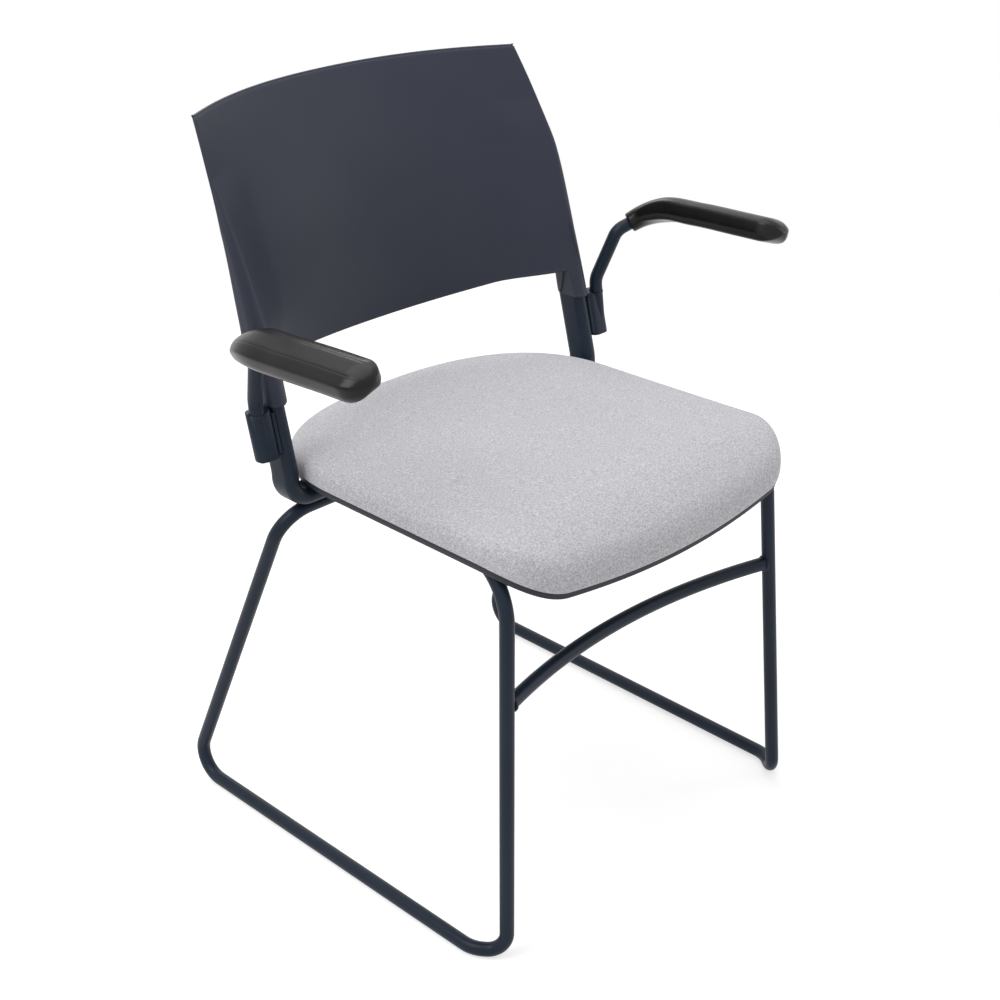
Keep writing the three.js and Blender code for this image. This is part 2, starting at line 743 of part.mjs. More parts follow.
// A sleeve's section at a height: it follows the upright, then fades into the edge of the sheet.
function sleeveAt(z) {
  const full = uprightThick + 2 * (sleeveWall + fitGap);
  const fade = ((z - sleeveBottomZ) / (sleeveTopZ - sleeveBottomZ)) ** sleeveTaper;
  const edge = shellEdge(z);
  const deep = (uprightDeep + 2 * (sleeveWall + fitGap)) * lerp(1, sleeveTopShare, fade);
  const thick = Math.min(full * lerp(1, sleeveTopThickShare, Math.max(z - uprightTopZ, 0)
    / (sleeveTopZ - uprightTopZ)), full);
  const outer = uprightHalf + full / 2 - (shellHalf - edge.half);
  return { half: outer - thick / 2, y: Math.max(uprightY(z), edge.y), thick, deep: Math.max(deep, shellThick) };
}

function sleeve(side) {
  const rings = Array.from({ length: sleeveRings + 1 }, (_, i) => {
    const z = lerp(sleeveBottomZ, sleeveTopZ, i / sleeveRings);
    const { half, y, thick, deep } = sleeveAt(z);
    const slim = Math.min(thick, deep);
    return ovalPoints(slim, deep).map((p) => at(side * half + p.x * (thick / slim), y + p.y, z));
  });
  return solid(skin(rings));
}

// The back screw fixes the sleeve to the upright from behind.
function backScrew(side) {
  const rearAt = (z) => at(side * uprightHalf, sleeveAt(z).y + sleeveAt(z).deep / 2, z);
  const slope = rearAt(backScrewZ + screwHead).sub(rearAt(backScrewZ - screwHead)).normalize();
  return { seat: rearAt(backScrewZ), direction: slope.cross(at(-1, 0, 0)), length: backScrewLength };
}

function backShell() {
  let body = shellPanel().add(sleeve(1)).add(sleeve(-1));
  for (const side of [1, -1]) body = body.subtract(upright(side, fitGap)).subtract(screwHole(backScrew(side)));
  return body;
}

// The group's origin is the middle of the chair's footprint, between the cushion's front and the shell's back.
const root = new THREE.Group();
const rearmost = shellEdge(shellTopZ).y + shellDepthTop + shellThick;
const frontmost = seatFrontY - cushionBulge;
root.position.y = -(frontmost + rearmost) / 2;

function add(name, body, material) {
  const mesh = new THREE.Mesh(body.isBufferGeometry ? body : geometryOf(body), material);
  mesh.name = name;
  root.add(mesh);
}

for (const [name, side] of [["left", 1], ["right", -1]]) {
  add(name + "_sled_tube", sledTube(side), powderCoat());
  add(name + "_upright", upright(side).subtract(screwHole(backScrew(side))), powderCoat());
  add(name + "_arm_socket", armSocket(side), powderCoat());
  add(name + "_arm_tube", armTube(side).subtract(screwHole(armScrew(side))), powderCoat());
  add(name + "_arm_pad", armPad(side), padUrethane());
  add(name + "_arm_screw", screw(armScrew(side)), blackSteel());
  add(name + "_back_screw", screw(backScrew(side)), blackSteel());
  for (const [end, y] of [["front", frontTabY], ["rear", rearTabY]]) {
    add(name + "_" + end + "_seat_tab", seatTab(side, y), powderCoat());
    add(name + "_" + end + "_seat_screw", screw(seatScrew(side, y)), blackSteel());
  }
}
add("rear_cross_tube", rearCrossTube(), powderCoat());
add("front_stretcher", stretcher(), powderCoat());
add("seat_pan", seatPan(), panPlastic());
add("seat_cushion", seatCushion(), fabric());
add("back_shell", backShell(), shellPlastic());

const group = new THREE.Group();
group.add(root);
export default group;
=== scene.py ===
"""Sled base visitor chair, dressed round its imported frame.

Shapes are drawn in millimetres, with y back from the front legs' feet. They become metres, in the
frame's own place, when a mesh is made. +Z is up and the sitter faces -Y.
"""
import math

import bpy
import numpy as np
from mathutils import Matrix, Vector


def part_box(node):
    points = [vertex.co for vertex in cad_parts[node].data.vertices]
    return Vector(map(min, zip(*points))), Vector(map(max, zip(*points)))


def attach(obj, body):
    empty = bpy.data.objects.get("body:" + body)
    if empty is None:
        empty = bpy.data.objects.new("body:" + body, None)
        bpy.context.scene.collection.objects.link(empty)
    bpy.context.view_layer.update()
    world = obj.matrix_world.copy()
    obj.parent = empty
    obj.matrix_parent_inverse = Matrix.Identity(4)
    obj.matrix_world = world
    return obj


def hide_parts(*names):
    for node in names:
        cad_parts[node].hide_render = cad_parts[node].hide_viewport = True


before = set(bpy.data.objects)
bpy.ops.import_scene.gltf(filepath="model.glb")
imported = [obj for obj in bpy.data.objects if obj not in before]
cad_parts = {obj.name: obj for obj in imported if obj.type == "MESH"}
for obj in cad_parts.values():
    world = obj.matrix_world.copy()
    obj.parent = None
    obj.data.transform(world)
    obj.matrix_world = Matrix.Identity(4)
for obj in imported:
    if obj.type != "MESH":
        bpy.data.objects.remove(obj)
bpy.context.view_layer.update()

BODY = "root"
MM = 0.001
SIDES = (("left", 1), ("right", -1))
OUT, BACK, UP = (1, 0, 0), (0, 1, 0), (0, 0, 1)

# Meshes
SHARP_ANGLE, CUSHION_SHARP_ANGLE, SHELL_SHARP_ANGLE = 35, 80, 50
BEND_STEP, LEAST_BEND_STEPS = math.radians(5), 3
TUBE_AROUND, OVAL_END_POINTS = 40, 24

# Sled frame
TUBE = 7.7
RUNNER_HALF = 250.0
HEEL_Y = 507.0
FOOT_HALF, FOOT_Y, TOE_Y = 227.0, 1.0, 29.5
FOOT_BEND, TOE_BEND, HEEL_BEND = 21.5, 34.0, 30.0
LEG_TOP_HALF, LEG_TOP_Y, LEG_BEND = 202.6, 26.0, 60.0
REAR_TOP_HALF, CROSS_Y, CROSS_Z, CROSS_BEND = 238.0, 325.0, 404.0, 38.0
CROSS_JOINT_HALF = 100.0
RAIL_END_HALF, RAIL_END_Y = 163.0, 340.0
WELD_GAP = 0.3
STRETCHER_Z, STRETCHER_BOW, STRETCHER_POINTS = 294.0, 32.0, 49
STRETCHER_END_SHARE = 0.55  # of the tube's radius, by which the bar stops short of a leg's middle
STRETCHER_WELD_SHARE = 0.82  # of the tube's radius, from a leg's middle to the middle of its weld

# Uprights
UPRIGHT_THICK, UPRIGHT_DEEP = 18.0, 35.0
UPRIGHT_HALF = 230.0
KNEE_Z, KNEE_BEND, LEAN = 452.4, 50.0, 0.255
DRAW_Z, UPRIGHT_TOP_Z, UPRIGHT_TOP_SHARE, UPRIGHT_TOP_POINTS = 530.0, 605.0, 0.72, 12
UPRIGHT_BEND, UPRIGHT_FOOT_HALF = 24.0, 140.0
FACET_REACH = TUBE / math.cos(math.pi / 12)  # the frame's own tubes have twelve sides
UPRIGHT_FOOT_Z = CROSS_Z + FACET_REACH + WELD_GAP + UPRIGHT_THICK / 2
RAIL_Z = UPRIGHT_FOOT_Z + UPRIGHT_THICK / 2 + WELD_GAP + FACET_REACH

# The left sled tube: seat rail, front leg, foot, runner, rear leg and its part of the cross run
SLED_LINE = (
    (RAIL_END_HALF, RAIL_END_Y, RAIL_Z),
    (LEG_TOP_HALF, LEG_TOP_Y, RAIL_Z, LEG_BEND),
    (FOOT_HALF, FOOT_Y, TUBE, FOOT_BEND),
    (RUNNER_HALF, TOE_Y, TUBE, TOE_BEND),
    (RUNNER_HALF, HEEL_Y, TUBE, HEEL_BEND),
    (REAR_TOP_HALF, CROSS_Y, CROSS_Z, CROSS_BEND),
    (CROSS_JOINT_HALF, CROSS_Y, CROSS_Z),
)

# Welds: rings round tubes' ends, straight beads under the uprights and beside the sockets
RING_POINTS, RING_AROUND, RING_RIPPLES, RING_RIPPLE_SHARE = 130, 12, 26, 0.1
RING_START = (0.0, 0.3, 1.0)
CROSS_WELD, CROSS_WELD_OUT = 1.3, 0.2
STRETCHER_WELD, STRETCHER_WELD_OUT = 1.6, 0.1
BEAD_AROUND, BEAD_RIPPLE, BEAD_PITCH = 12, 0.2, 2.1
FOOT_BEAD, FOOT_BEAD_POINTS, FOOT_BEAD_END = 1.8, 30, 6.0
FOOT_BEAD_SUNK, FOOT_BEAD_SHARE = 0.6, 0.5
SEAM_BEAD, SEAM_BEAD_POINTS, SEAM_BEAD_END = 2.2, 40, 4.0
SEAM_BEAD_OUT, SEAM_BEAD_SHARE = 1.0, 0.36

# Arm sockets and arm tubes
SOCKET_WIDE, SOCKET_DEEP = 27.5, 18.0
SOCKET_BOTTOM_Z, SOCKET_TOP_Z, SOCKET_FORWARD = 477.0, 527.0, 8.3
SOCKET_HALF = UPRIGHT_HALF + UPRIGHT_THICK / 2 + WELD_GAP + SOCKET_WIDE / 2
SOCKET_FOOT_EDGE = ((0.0, 1.2), (0.35, 0.35), (1.2, 0.0))  # above the bottom, drawn in
SOCKET_TOP_EDGE = ((0.5, 0.0), (0.15, 0.15), (0.0, 0.5))  # below the top, drawn in
BORE_RIM = ((0.8, 0.0), (0.4, 0.6), (0.4, 6.0))  # play round the arm tube, below the top
ARM_FOOT_HALF = SOCKET_HALF + (SOCKET_WIDE - SOCKET_DEEP) / 2
ARM_TUBE = 7.7
ARM_LINE = (
    (ARM_FOOT_HALF, 324.8, 484.0),
    (ARM_FOOT_HALF, 332.2, 541.0, 30.0),
    (269.0, 310.0, 604.5, 18.0),
    (292.0, 299.0, 615.0, 20.0),
    (301.0, 262.0, 631.0, 60.0),
    (304.0, 118.0, 640.0),
)

# Arm pads
PAD_LINE = (
    (282.5, 302.8, 611.5),
    (291.5, 295.5, 618.0),
    (303.0, 267.0, 631.0),
    (305.5, 215.0, 636.0),
    (304.0, 150.0, 639.3),
    (303.5, 95.0, 641.5),
)
PAD_WIDE, PAD_THICK, PAD_ROLL = 48.0, 28.0, 0.1
PAD_COLLAR_WIDE_SHARE, PAD_COLLAR_THICK_SHARE = 0.46, 0.84
PAD_SPREAD, PAD_NOSE = 75.0, 24.0
PAD_COLLAR_EDGE, PAD_COLLAR_EDGE_SHARE, PAD_TIP_SHARE = 2.0, 0.1, 0.02
PAD_LINE_POINTS, PAD_ROWS, PAD_AROUND = 400, 90, 208
# Each face of the pad's section: the way it looks, across and up, and how far out it lies
PAD_FACES = (
    ((0.0, 1.0), 13.7), ((0.43, 0.903), 17.3), ((-0.43, 0.903), 17.3), ((1.0, 0.0), 23.0),
    ((-1.0, 0.0), 23.0), ((0.8, -0.6), 22.6), ((-0.8, -0.6), 22.6), ((0.0, -1.0), 13.9),
)
PAD_CRISP = 18.0
FLUTE_ANGLE, FLUTE_HALF, FLUTE_DEPTH = 0.87, 0.05, 0.35

# Seat
SEAT_HALF = 215.0
SEAT_FRONT_Y, SEAT_FRONT_BOW, SEAT_FRONT_BEND = -22.5, 9.0, 66.0
SEAT_SIDE_END_Y, SEAT_REAR_Y, SEAT_REAR_POWER = 268.0, 430.0, 2.45
SEAT_CENTRE_Y = 190.0
SEAT_FRONT_POINTS, SEAT_CORNER_POINTS, SEAT_SIDE_POINTS, SEAT_REAR_POINTS = 26, 30, 26, 44
WATERFALL_DROP, WATERFALL_Y = 34.5, 54.0

# Seat pan
PAN_RIM_Z, PAN_RIM, PAN_LIP, PAN_STEP, PAN_SKIN, PAN_ROUND = 434.5, 6.5, 2.4, 3.6, 3.0, 0.7
PAN_UNDER_Z = RAIL_Z + FACET_REACH + WELD_GAP
PAN_TOP_Z = PAN_UNDER_Z + PAN_SKIN
PAN_STEP_Z = PAN_RIM_Z + PAN_RIM
PAN_INSETS = (34, 26, 18, 12)
PAN_SHARES = (0.05, 0.2, 0.4, 0.6, 0.8)

# Cushion
SOFT_GAP = 1.0
CUSHION_REAR, CUSHION_FRONT, CUSHION_CROWN = 17.0, 30.0, 9.5
CUSHION_BULGE, CUSHION_SHOULDER, CUSHION_ROLL_SHARE = 3.0, 18.0, 0.25
CUSHION_ROLL_POWER = 2.6
CUSHION_UNDER_INSETS = (34, 20, 10, 5)
CUSHION_UNDER_SHARES = (0.06, 0.25, 0.45, 0.65, 0.85)
CUSHION_LIP, CUSHION_LIP_IN, CUSHION_SIDE_INSET = 1.5, 1.6, 1.2
CUSHION_SIDE_ROWS, CUSHION_ROLL_ROWS, CUSHION_TOP_ROWS, CUSHION_HUB_SHARE = 7, 16, 22, 0.03
SWELL_FRAMES, SWELL_PRESSURE, SWELL_CAP = 20, 0.12, 4.0
HELD_ROWS = 14  # the cushion's underside and the edge that grips the pan
LEAST_MOVE = MM * MM

# Back shell
SHELL_THICK, SHELL_LEAST_THICK, SHELL_EDGE_FLAT = 3.8, 1.0, 0.1
SHELL_HALF, SHELL_TOP_HALF, SHELL_WAIST_Z, SHELL_DRAW = 238.0, 225.0, 700.0, 1.3
SHELL_TOP_Z, SHELL_BOTTOM_Z, SHELL_SAG, SHELL_CORNER_RISE = 808.0, 561.0, 27.0, 4.0
SHELL_EDGE_Y, SHELL_SWEEP, SHELL_FLARE = 344.5, 0.21, 0.00077
SHELL_DEPTH_BOTTOM, SHELL_DEPTH_TOP, SHELL_ROUNDNESS = 90.0, 65.0, 2.2
SHELL_LEAST_RISE = -0.2  # the share of the height at which the hollow stops deepening downward
SLEEVE_THICK, SLEEVE_DEEP = 22.8, 39.8
SLEEVE_BOTTOM_Z, SLEEVE_TOP_Z, SLEEVE_TAPER = 527.6, 750.0, 1.5
SLEEVE_TOP_SHARE, SLEEVE_TOP_THICK_SHARE = 0.09, 0.3
SLEEVE_FILLET, BACK_FILLET = 5.0, 9.0
WALL_SLOPE = 7.0
WALL_START = WALL_SLOPE / math.hypot(1, WALL_SLOPE)
CURL_WIDTH = 70.0
# Columns of half a section. Places across the sleeve are in sleeve thicknesses from its inner side
SHEET_COLUMNS, WALL_COLUMNS, FILLET_COLUMNS, NOSE_COLUMNS, FLAT_COLUMNS = 62, 26, 14, 26, 4
SHEET_END, WALL_END, FILLET_END = -1.2, -0.12, 0.04
ON_SLEEVE_START, ON_SLEEVE_WIDTH = -0.1, 0.12
SHELL_ROWS, SHELL_EDGE_ROWS = 108, 6

# Screws
HEAD_RADIUS, HEAD_HEIGHT, HEAD_AROUND = 5.0, 3.0, 48
HEAD_START = (0.31, 0.2, 0.9)
# A head's profile as shares of its height and radius: the dome, then the hexagon sunk in it
HEAD_DOME = ((0.0, 1.0), (0.35, 1.0), (0.62, 0.94), (0.85, 0.8), (1.0, 0.58))
HEAD_HEXAGON = ((1.0, 0.44), (0.35, 0.4))
BACK_SCREW_RISE, BACK_SCREW_WAY = 1.2, (0, -1, 0.17)

# Studio, in metres and watts
NEAR_GLOW, NEAR_SHARE = 1.52, 0.43  # together these make the lit floor near the chair just white
FADE_FROM, FADE_TO = 0.6, 2.0
FLOOR_REACH, FLOOR_SHADE, FLOOR_ROUGHNESS = 12.0, 0.92, 0.9
WORLD_LIGHT = 0.55
# Each lamp's place, what it faces, its two sides and its power
LAMPS = {
    "soft_key": ((-1.5, 0.2, 2.3), (0, 0, 0.45), (1.4, 1.4), 26),
    "soft_top": ((0.3, 0.4, 2.6), (0, 0, 0.4), (2.0, 2.0), 22),
    "side_strip": ((1.7, -1.15, 0.9), (0, 0.15, 0.65), (0.3, 1.4), 4),
    "back_gloss": ((1.2, 1.85, 1.6), (-0.3, 0, 0.64), (1.0, 0.6), 5),
}

# Camera: its place in millimetres as the chair is drawn, its angles in degrees, its lens in pixels
CAMERA_X, CAMERA_Y, CAMERA_Z = -1277.0, -1032.98, 1271.0
CAMERA_AZIMUTH, CAMERA_ELEVATION = -45.16, 26.58
FOCAL_PIXELS, IMAGE_PIXELS, SENSOR_WIDTH = 1804.0, 1000.0, 36.0

# The chair as drawn is moved by this much to stand on the frame's origin
SHIFT_Y = sum(corner[1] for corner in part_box("rear_cross_tube")) / 2 / MM - CROSS_Y


def unit(v):
    """Each row divided by its length."""
    return v / np.linalg.norm(v, axis=-1, keepdims=True)


def smooth(t):
    """0 below 0, 1 above 1, and 3t^2 - 2t^3 between."""
    t = np.clip(t, 0, 1)
    return t * t * (3 - 2 * t)


def blend(a, b, width, sign):
    """The smaller of a and b for sign 1, the larger for -1, with a parabolic fillet between."""
    h = np.clip(0.5 + sign * (b - a) / (2 * width), 0, 1)
    return b + (a - b) * h - sign * width * h * (1 - h)


def mirrored(side, points):
    """The left side's points for side 1, their images in the chair's middle plane for side -1."""
    return np.asarray(points, float) * np.array([side, 1, 1])


# Meshes


def piece(name, vertices, faces, finish, slot, nodes=(), sharp=SHARP_ANGLE):
    """Puts millimetre vertices into a mesh in metres, faces outward, and hangs it on the frame."""
    vertices = (vertices + np.array([0, SHIFT_Y, 0])) * MM
    mesh = bpy.data.meshes.new(name)
    mesh.from_pydata(vertices.tolist(), [], faces)
    mesh.validate()
    if signed_volume(mesh) < 0:
        mesh.flip_normals()
    mesh.shade_smooth()
    mesh.set_sharp_from_angle(angle=math.radians(sharp))
    mesh.materials.append(finish)
    made = bpy.data.objects.new(name, mesh)
    bpy.context.scene.collection.objects.link(made)
    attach(made, BODY)
    if nodes:
        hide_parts(*nodes)
    return made


def places(mesh):
    """The mesh's vertices as a (count, 3) array."""
    flat = np.empty(len(mesh.vertices) * 3)
    mesh.vertices.foreach_get("co", flat)
    return flat.reshape(-1, 3)


def signed_volume(mesh):
    """Sum over the triangles of a . (b x c) / 6, which is positive when faces point outward."""
    mesh.calc_loop_triangles()
    corners = np.empty(len(mesh.loop_triangles) * 3, int)
    mesh.loop_triangles.foreach_get("vertices", corners)
    a, b, c = places(mesh)[corners.reshape(-1, 3)].transpose(1, 0, 2)
    return float((a * np.cross(b, c)).sum() / 6)


def walls(rows, around):
    """Vertex numbers on a (rows, around) grid, and the four-sided faces that close it around."""
    index = np.arange(rows * around).reshape(rows, around)
    after = np.roll(index, -1, axis=1)
    quads = np.stack([index[:-1], after[:-1], after[1:], index[1:]], axis=-1)
    return index, quads.reshape(-1, 4).tolist()


def skin(grid):
    """A grid (rows, around, 3) closed around, with a fan to a hub over its first and last row."""
    rows, around = grid.shape[:2]
    index, quads = walls(rows, around)
    hubs = [rows * around, rows * around + 1]
    after = np.roll(index, -1, axis=1)
    first = np.stack([np.full(around, hubs[0]), after[0], index[0]], axis=-1)
    last = np.stack([np.full(around, hubs[1]), index[-1], after[-1]], axis=-1)
    vertices = np.vstack([grid.reshape(-1, 3), grid[0].mean(0), grid[-1].mean(0)])
    return vertices, quads + first.tolist() + last.tolist()


def joined(parts):
    """Several (vertices, faces) pairs as one."""
    vertices, faces, start = [], [], 0
    for points, polygons in parts:
        vertices.append(points)
        faces += [[corner + start for corner in polygon] for polygon in polygons]
        start += len(points)
    return np.vstack(vertices), faces


# Paths and sections


def bent(corners):
    """Points along straight lines joined by circular bends. Middle corners are x, y, z, radius."""
    points = [np.array([corners[0][:3]], float)]
    for before, corner, after in zip(corners, corners[1:], corners[2:]):
        centre, radius = np.array(corner[:3], float), corner[3]
        onto = unit(centre - np.array(before[:3]))
        off = unit(np.array(after[:3]) - centre)
        turn = math.acos(float(np.clip(onto @ off, -1, 1)))
        start = centre - onto * radius * math.tan(turn / 2)
        inward = unit(off - onto * (onto @ off))
        angle = np.linspace(0, turn, max(int(turn / BEND_STEP), LEAST_BEND_STEPS) + 1)[:, None]
        points.append(start + radius * (np.sin(angle) * onto + (1 - np.cos(angle)) * inward))
    points.append(np.array([corners[-1][:3]], float))
    return np.vstack(points)


def curve_through(points, count):
    """Cubic pieces through points, each point's slope taken by length from its neighbours."""
    points = np.asarray(points, float)
    chord = np.concatenate([[0], np.cumsum(np.linalg.norm(np.diff(points, axis=0), axis=1))])
    slope = np.gradient(points, chord, axis=0)
    where = np.linspace(0, chord[-1], count)
    i = np.clip(np.searchsorted(chord, where, side="right") - 1, 0, len(chord) - 2)
    span = (chord[i + 1] - chord[i])[:, None]
    t = (where - chord[i])[:, None] / span
    return ((2 * t**3 - 3 * t**2 + 1) * points[i] + (t**3 - 2 * t**2 + t) * span * slope[i]
            + (-2 * t**3 + 3 * t**2) * points[i + 1] + (t**3 - t**2) * span * slope[i + 1])


def across_and_up(points, first):
    """Across and up at each point, turned as little as possible from the first across."""
    runs = unit(np.diff(points, axis=0))
    along = unit(np.vstack([runs[:1], runs[:-1] + runs[1:], runs[-1:]]))
    across = np.array(first, float)
    kept = []
    for direction in along:
        across = unit(across - direction * (across @ direction))
        kept.append(across)
    across = np.array(kept)
    return across, np.cross(along, across)


def carried(points, section, first):
    """A section (around, 2) or (points, around, 2) carried along a path: p + u across + v up."""
    across, up = across_and_up(points, first)
    section = np.broadcast_to(section, (len(points),) + section.shape[-2:])
    return points[:, None] + section[..., :1] * across[:, None] + section[..., 1:] * up[:, None]


def circle(radius, around):
    """Radius times (cos a, sin a)."""
    angle = np.arange(around) * 2 * math.pi / around
    return radius * np.stack([np.cos(angle), np.sin(angle)], axis=-1)


def round_bar(path, radius, first=UP):
    """A closed round bar: a circle of the tube's radius carried along its path."""
    return skin(carried(path, circle(radius, TUBE_AROUND), first))


def half_turns():
    """Unit directions (cos a, sin a) over one half turn, then their opposites."""
    angle = np.linspace(0, math.pi, OVAL_END_POINTS)
    half = np.stack([np.cos(angle), np.sin(angle)], axis=-1)
    return np.vstack([half, -half])


def flat_oval(thick, deep):
    """Two half circles of radius thick / 2, set apart so that the whole is deep one way."""
    apart = np.repeat([(0.0, 1.0), (0.0, -1.0)], OVAL_END_POINTS, axis=0) * (deep - thick) / 2
    return half_turns() * thick / 2 + apart


def level_ring(section, x, y, z):
    """A flat section laid level at x, y, z, with its second axis across the chair."""
    return np.stack([section[:, 1] + x, section[:, 0] + y, np.full(len(section), z)], axis=-1)


# Materials


def material(name):
    """An empty node material with its nodes, its links and its Principled shader."""
    made = bpy.data.materials.new(name)
    made.use_nodes = True
    nodes, links = made.node_tree.nodes, made.node_tree.links
    return made, nodes, links, nodes["Principled BSDF"]


def node(nodes, kind, **values):
    """A new node with its inputs set by name, and its properties by lower-case name."""
    made = nodes.new(kind)
    for key, value in values.items():
        if key in made.inputs:
            made.inputs[key].default_value = value
        else:
            setattr(made, key, value)
    return made


def object_noise(nodes, links, scale, detail=3.0):
    """A value of noise read from Object coordinates."""
    place = node(nodes, "ShaderNodeTexCoord")
    noise = node(nodes, "ShaderNodeTexNoise", Scale=scale, Detail=detail)
    links.new(place.outputs["Object"], noise.inputs["Vector"])
    return noise.outputs["Fac"]


def toned(nodes, links, shader, source, dark, light, low=0.35, high=0.65):
    """Base colour runs from dark to light as the source runs from low to high."""
    ramp = node(nodes, "ShaderNodeValToRGB")
    ramp.color_ramp.elements[0].position = low
    ramp.color_ramp.elements[1].position = high
    ramp.color_ramp.elements[0].color = (*dark, 1)
    ramp.color_ramp.elements[1].color = (*light, 1)
    links.new(source, ramp.inputs["Fac"])
    links.new(ramp.outputs["Color"], shader.inputs["Base Color"])


def bumped(nodes, links, shader, source, strength, distance):
    """Feeds a height to the shader's normal through a Bump node."""
    bump = node(nodes, "ShaderNodeBump", Strength=strength, Distance=distance)
    links.new(source, bump.inputs["Height"])
    links.new(bump.outputs["Normal"], shader.inputs["Normal"])


def ranged(nodes, links, source, **ends):
    """A value that runs from To Min to To Max as the source runs from From Min to From Max."""
    spread = node(nodes, "ShaderNodeMapRange")
    for end, value in ends.items():
        spread.inputs[end.replace("_", " ").title()].default_value = value
    links.new(source, spread.inputs["Value"])
    return spread.outputs["Result"]


def grained(name, cloud, tones, grain, relief, roughness, specular):
    """A finish whose shade and roughness drift with one slow noise, under a fine noise as relief.

    grain is the fine noise's scale and detail, and relief is its strength and its depth in metres.
    """
    made, nodes, links, shader = material(name)
    cloudy = object_noise(nodes, links, cloud)
    toned(nodes, links, shader, cloudy, *tones)
    bumped(nodes, links, shader, object_noise(nodes, links, *grain), *relief)
    smoothest, roughest = roughness
    spread = ranged(nodes, links, cloudy, to_min=smoothest, to_max=roughest)
    links.new(spread, shader.inputs["Roughness"])
    shader.inputs["Specular IOR Level"].default_value = specular
    return made


def woven_cloth():
    """Light grey melange cloth: short paler and darker stretches of yarn, across and lengthwise.

    The weave is the larger of two noises, each drawn out one way, and is also the relief.
    """
    made, nodes, links, shader = material("seat_cloth")
    place = node(nodes, "ShaderNodeTexCoord")
    woven = node(nodes, "ShaderNodeMath", operation="MAXIMUM")
    for socket, stretch in zip(woven.inputs, ((900.0, 420.0, 500.0), (420.0, 900.0, 500.0))):
        mapping = node(nodes, "ShaderNodeMapping", Scale=stretch)
        links.new(place.outputs["Object"], mapping.inputs["Vector"])
        yarn = node(nodes, "ShaderNodeTexNoise", Scale=1.0, Detail=2.0)
        links.new(mapping.outputs["Vector"], yarn.inputs["Vector"])
        links.new(yarn.outputs["Fac"], socket)
    weave = woven.outputs["Value"]
    dark, light = (0.335, 0.331, 0.357), (0.67, 0.664, 0.693)
    toned(nodes, links, shader, weave, dark, light, low=0.38, high=0.74)
    bumped(nodes, links, shader, weave, strength=0.5, distance=0.0006)
    shader.inputs["Roughness"].default_value = 0.95
    shader.inputs["Specular IOR Level"].default_value = 0.2
    shader.inputs["Sheen Weight"].default_value = 0.25
    shader.inputs["Sheen Roughness"].default_value = 0.5
    return made


def black_steel():
    """Blackened steel of the screws, worn paler in spots by one noise that is also its relief."""
    made, nodes, links, shader = material("black_steel")
    worn = object_noise(nodes, links, 300.0)
    toned(nodes, links, shader, worn, (0.02, 0.021, 0.024), (0.05, 0.051, 0.055))
    bumped(nodes, links, shader, worn, strength=0.2, distance=0.0001)
    shader.inputs["Metallic"].default_value = 0.7
    shader.inputs["Roughness"].default_value = 0.38
    return made


# Dark navy powder coat over steel
COAT = grained(
    "navy_powder_coat", cloud=14.0, tones=((0.009, 0.016, 0.029), (0.012, 0.021, 0.037)),
    grain=(900.0, 2.0), relief=(0.25, 0.0002), roughness=(0.34, 0.46), specular=0.2,
)
# Charcoal navy moulded plastic with a fine satin grain
SHELL = grained(
    "shell_plastic", cloud=6.0, tones=((0.026, 0.030, 0.047), (0.031, 0.035, 0.053)),
    grain=(1400.0, 2.0), relief=(0.22, 0.00015), roughness=(0.42, 0.5), specular=0.25,
)
# Dark moulded plastic of the seat pan, a little rougher than the shell
PAN = grained(
    "pan_plastic", cloud=9.0, tones=((0.024, 0.027, 0.036), (0.03, 0.033, 0.043)),
    grain=(1100.0, 2.0), relief=(0.3, 0.0002), roughness=(0.45, 0.58), specular=0.3,
)
# Black self-skinned foam with a soft gloss and a very fine grain
PAD = grained(
    "pad_skin", cloud=22.0, tones=((0.004, 0.004, 0.004), (0.007, 0.007, 0.0068)),
    grain=(800.0, 3.0), relief=(0.15, 0.0002), roughness=(0.24, 0.32), specular=0.25,
)
CLOTH = woven_cloth()
SCREW = black_steel()


# Welds


def weld_ring(centre, axis, radius, thick):
    """A bead round a tube: a torus whose thickness ripples by a tenth as it goes round."""
    axis = unit(np.array(axis, float))
    first = unit(np.cross(axis, RING_START))
    second = np.cross(axis, first)
    turn = np.arange(RING_POINTS) * 2 * math.pi / RING_POINTS
    thick = thick * (1 + RING_RIPPLE_SHARE * np.sin(RING_RIPPLES * turn))[:, None]
    section = np.arange(RING_AROUND) * 2 * math.pi / RING_AROUND
    out = np.cos(turn)[:, None, None] * first + np.sin(turn)[:, None, None] * second
    grid = np.array(centre) + out * (radius + thick * np.cos(section))[..., None]
    grid = grid + axis * (thick * np.sin(section))[..., None]
    index = np.arange(RING_POINTS * RING_AROUND).reshape(RING_POINTS, RING_AROUND)
    below, after = np.roll(index, -1, axis=0), np.roll(index, -1, axis=1)
    corner = np.roll(below, -1, axis=1)
    return grid.reshape(-1, 3), np.stack([index, after, corner, below], -1).reshape(-1, 4).tolist()


def weld_bead(path, thick, first):
    """A straight bead: a round bar whose radius is thick + ripple sin(pitch k) at its point k."""
    ripple = thick + BEAD_RIPPLE * np.sin(np.arange(len(path)) * BEAD_PITCH)
    return skin(carried(path, circle(1, BEAD_AROUND)[None] * ripple[:, None, None], first))


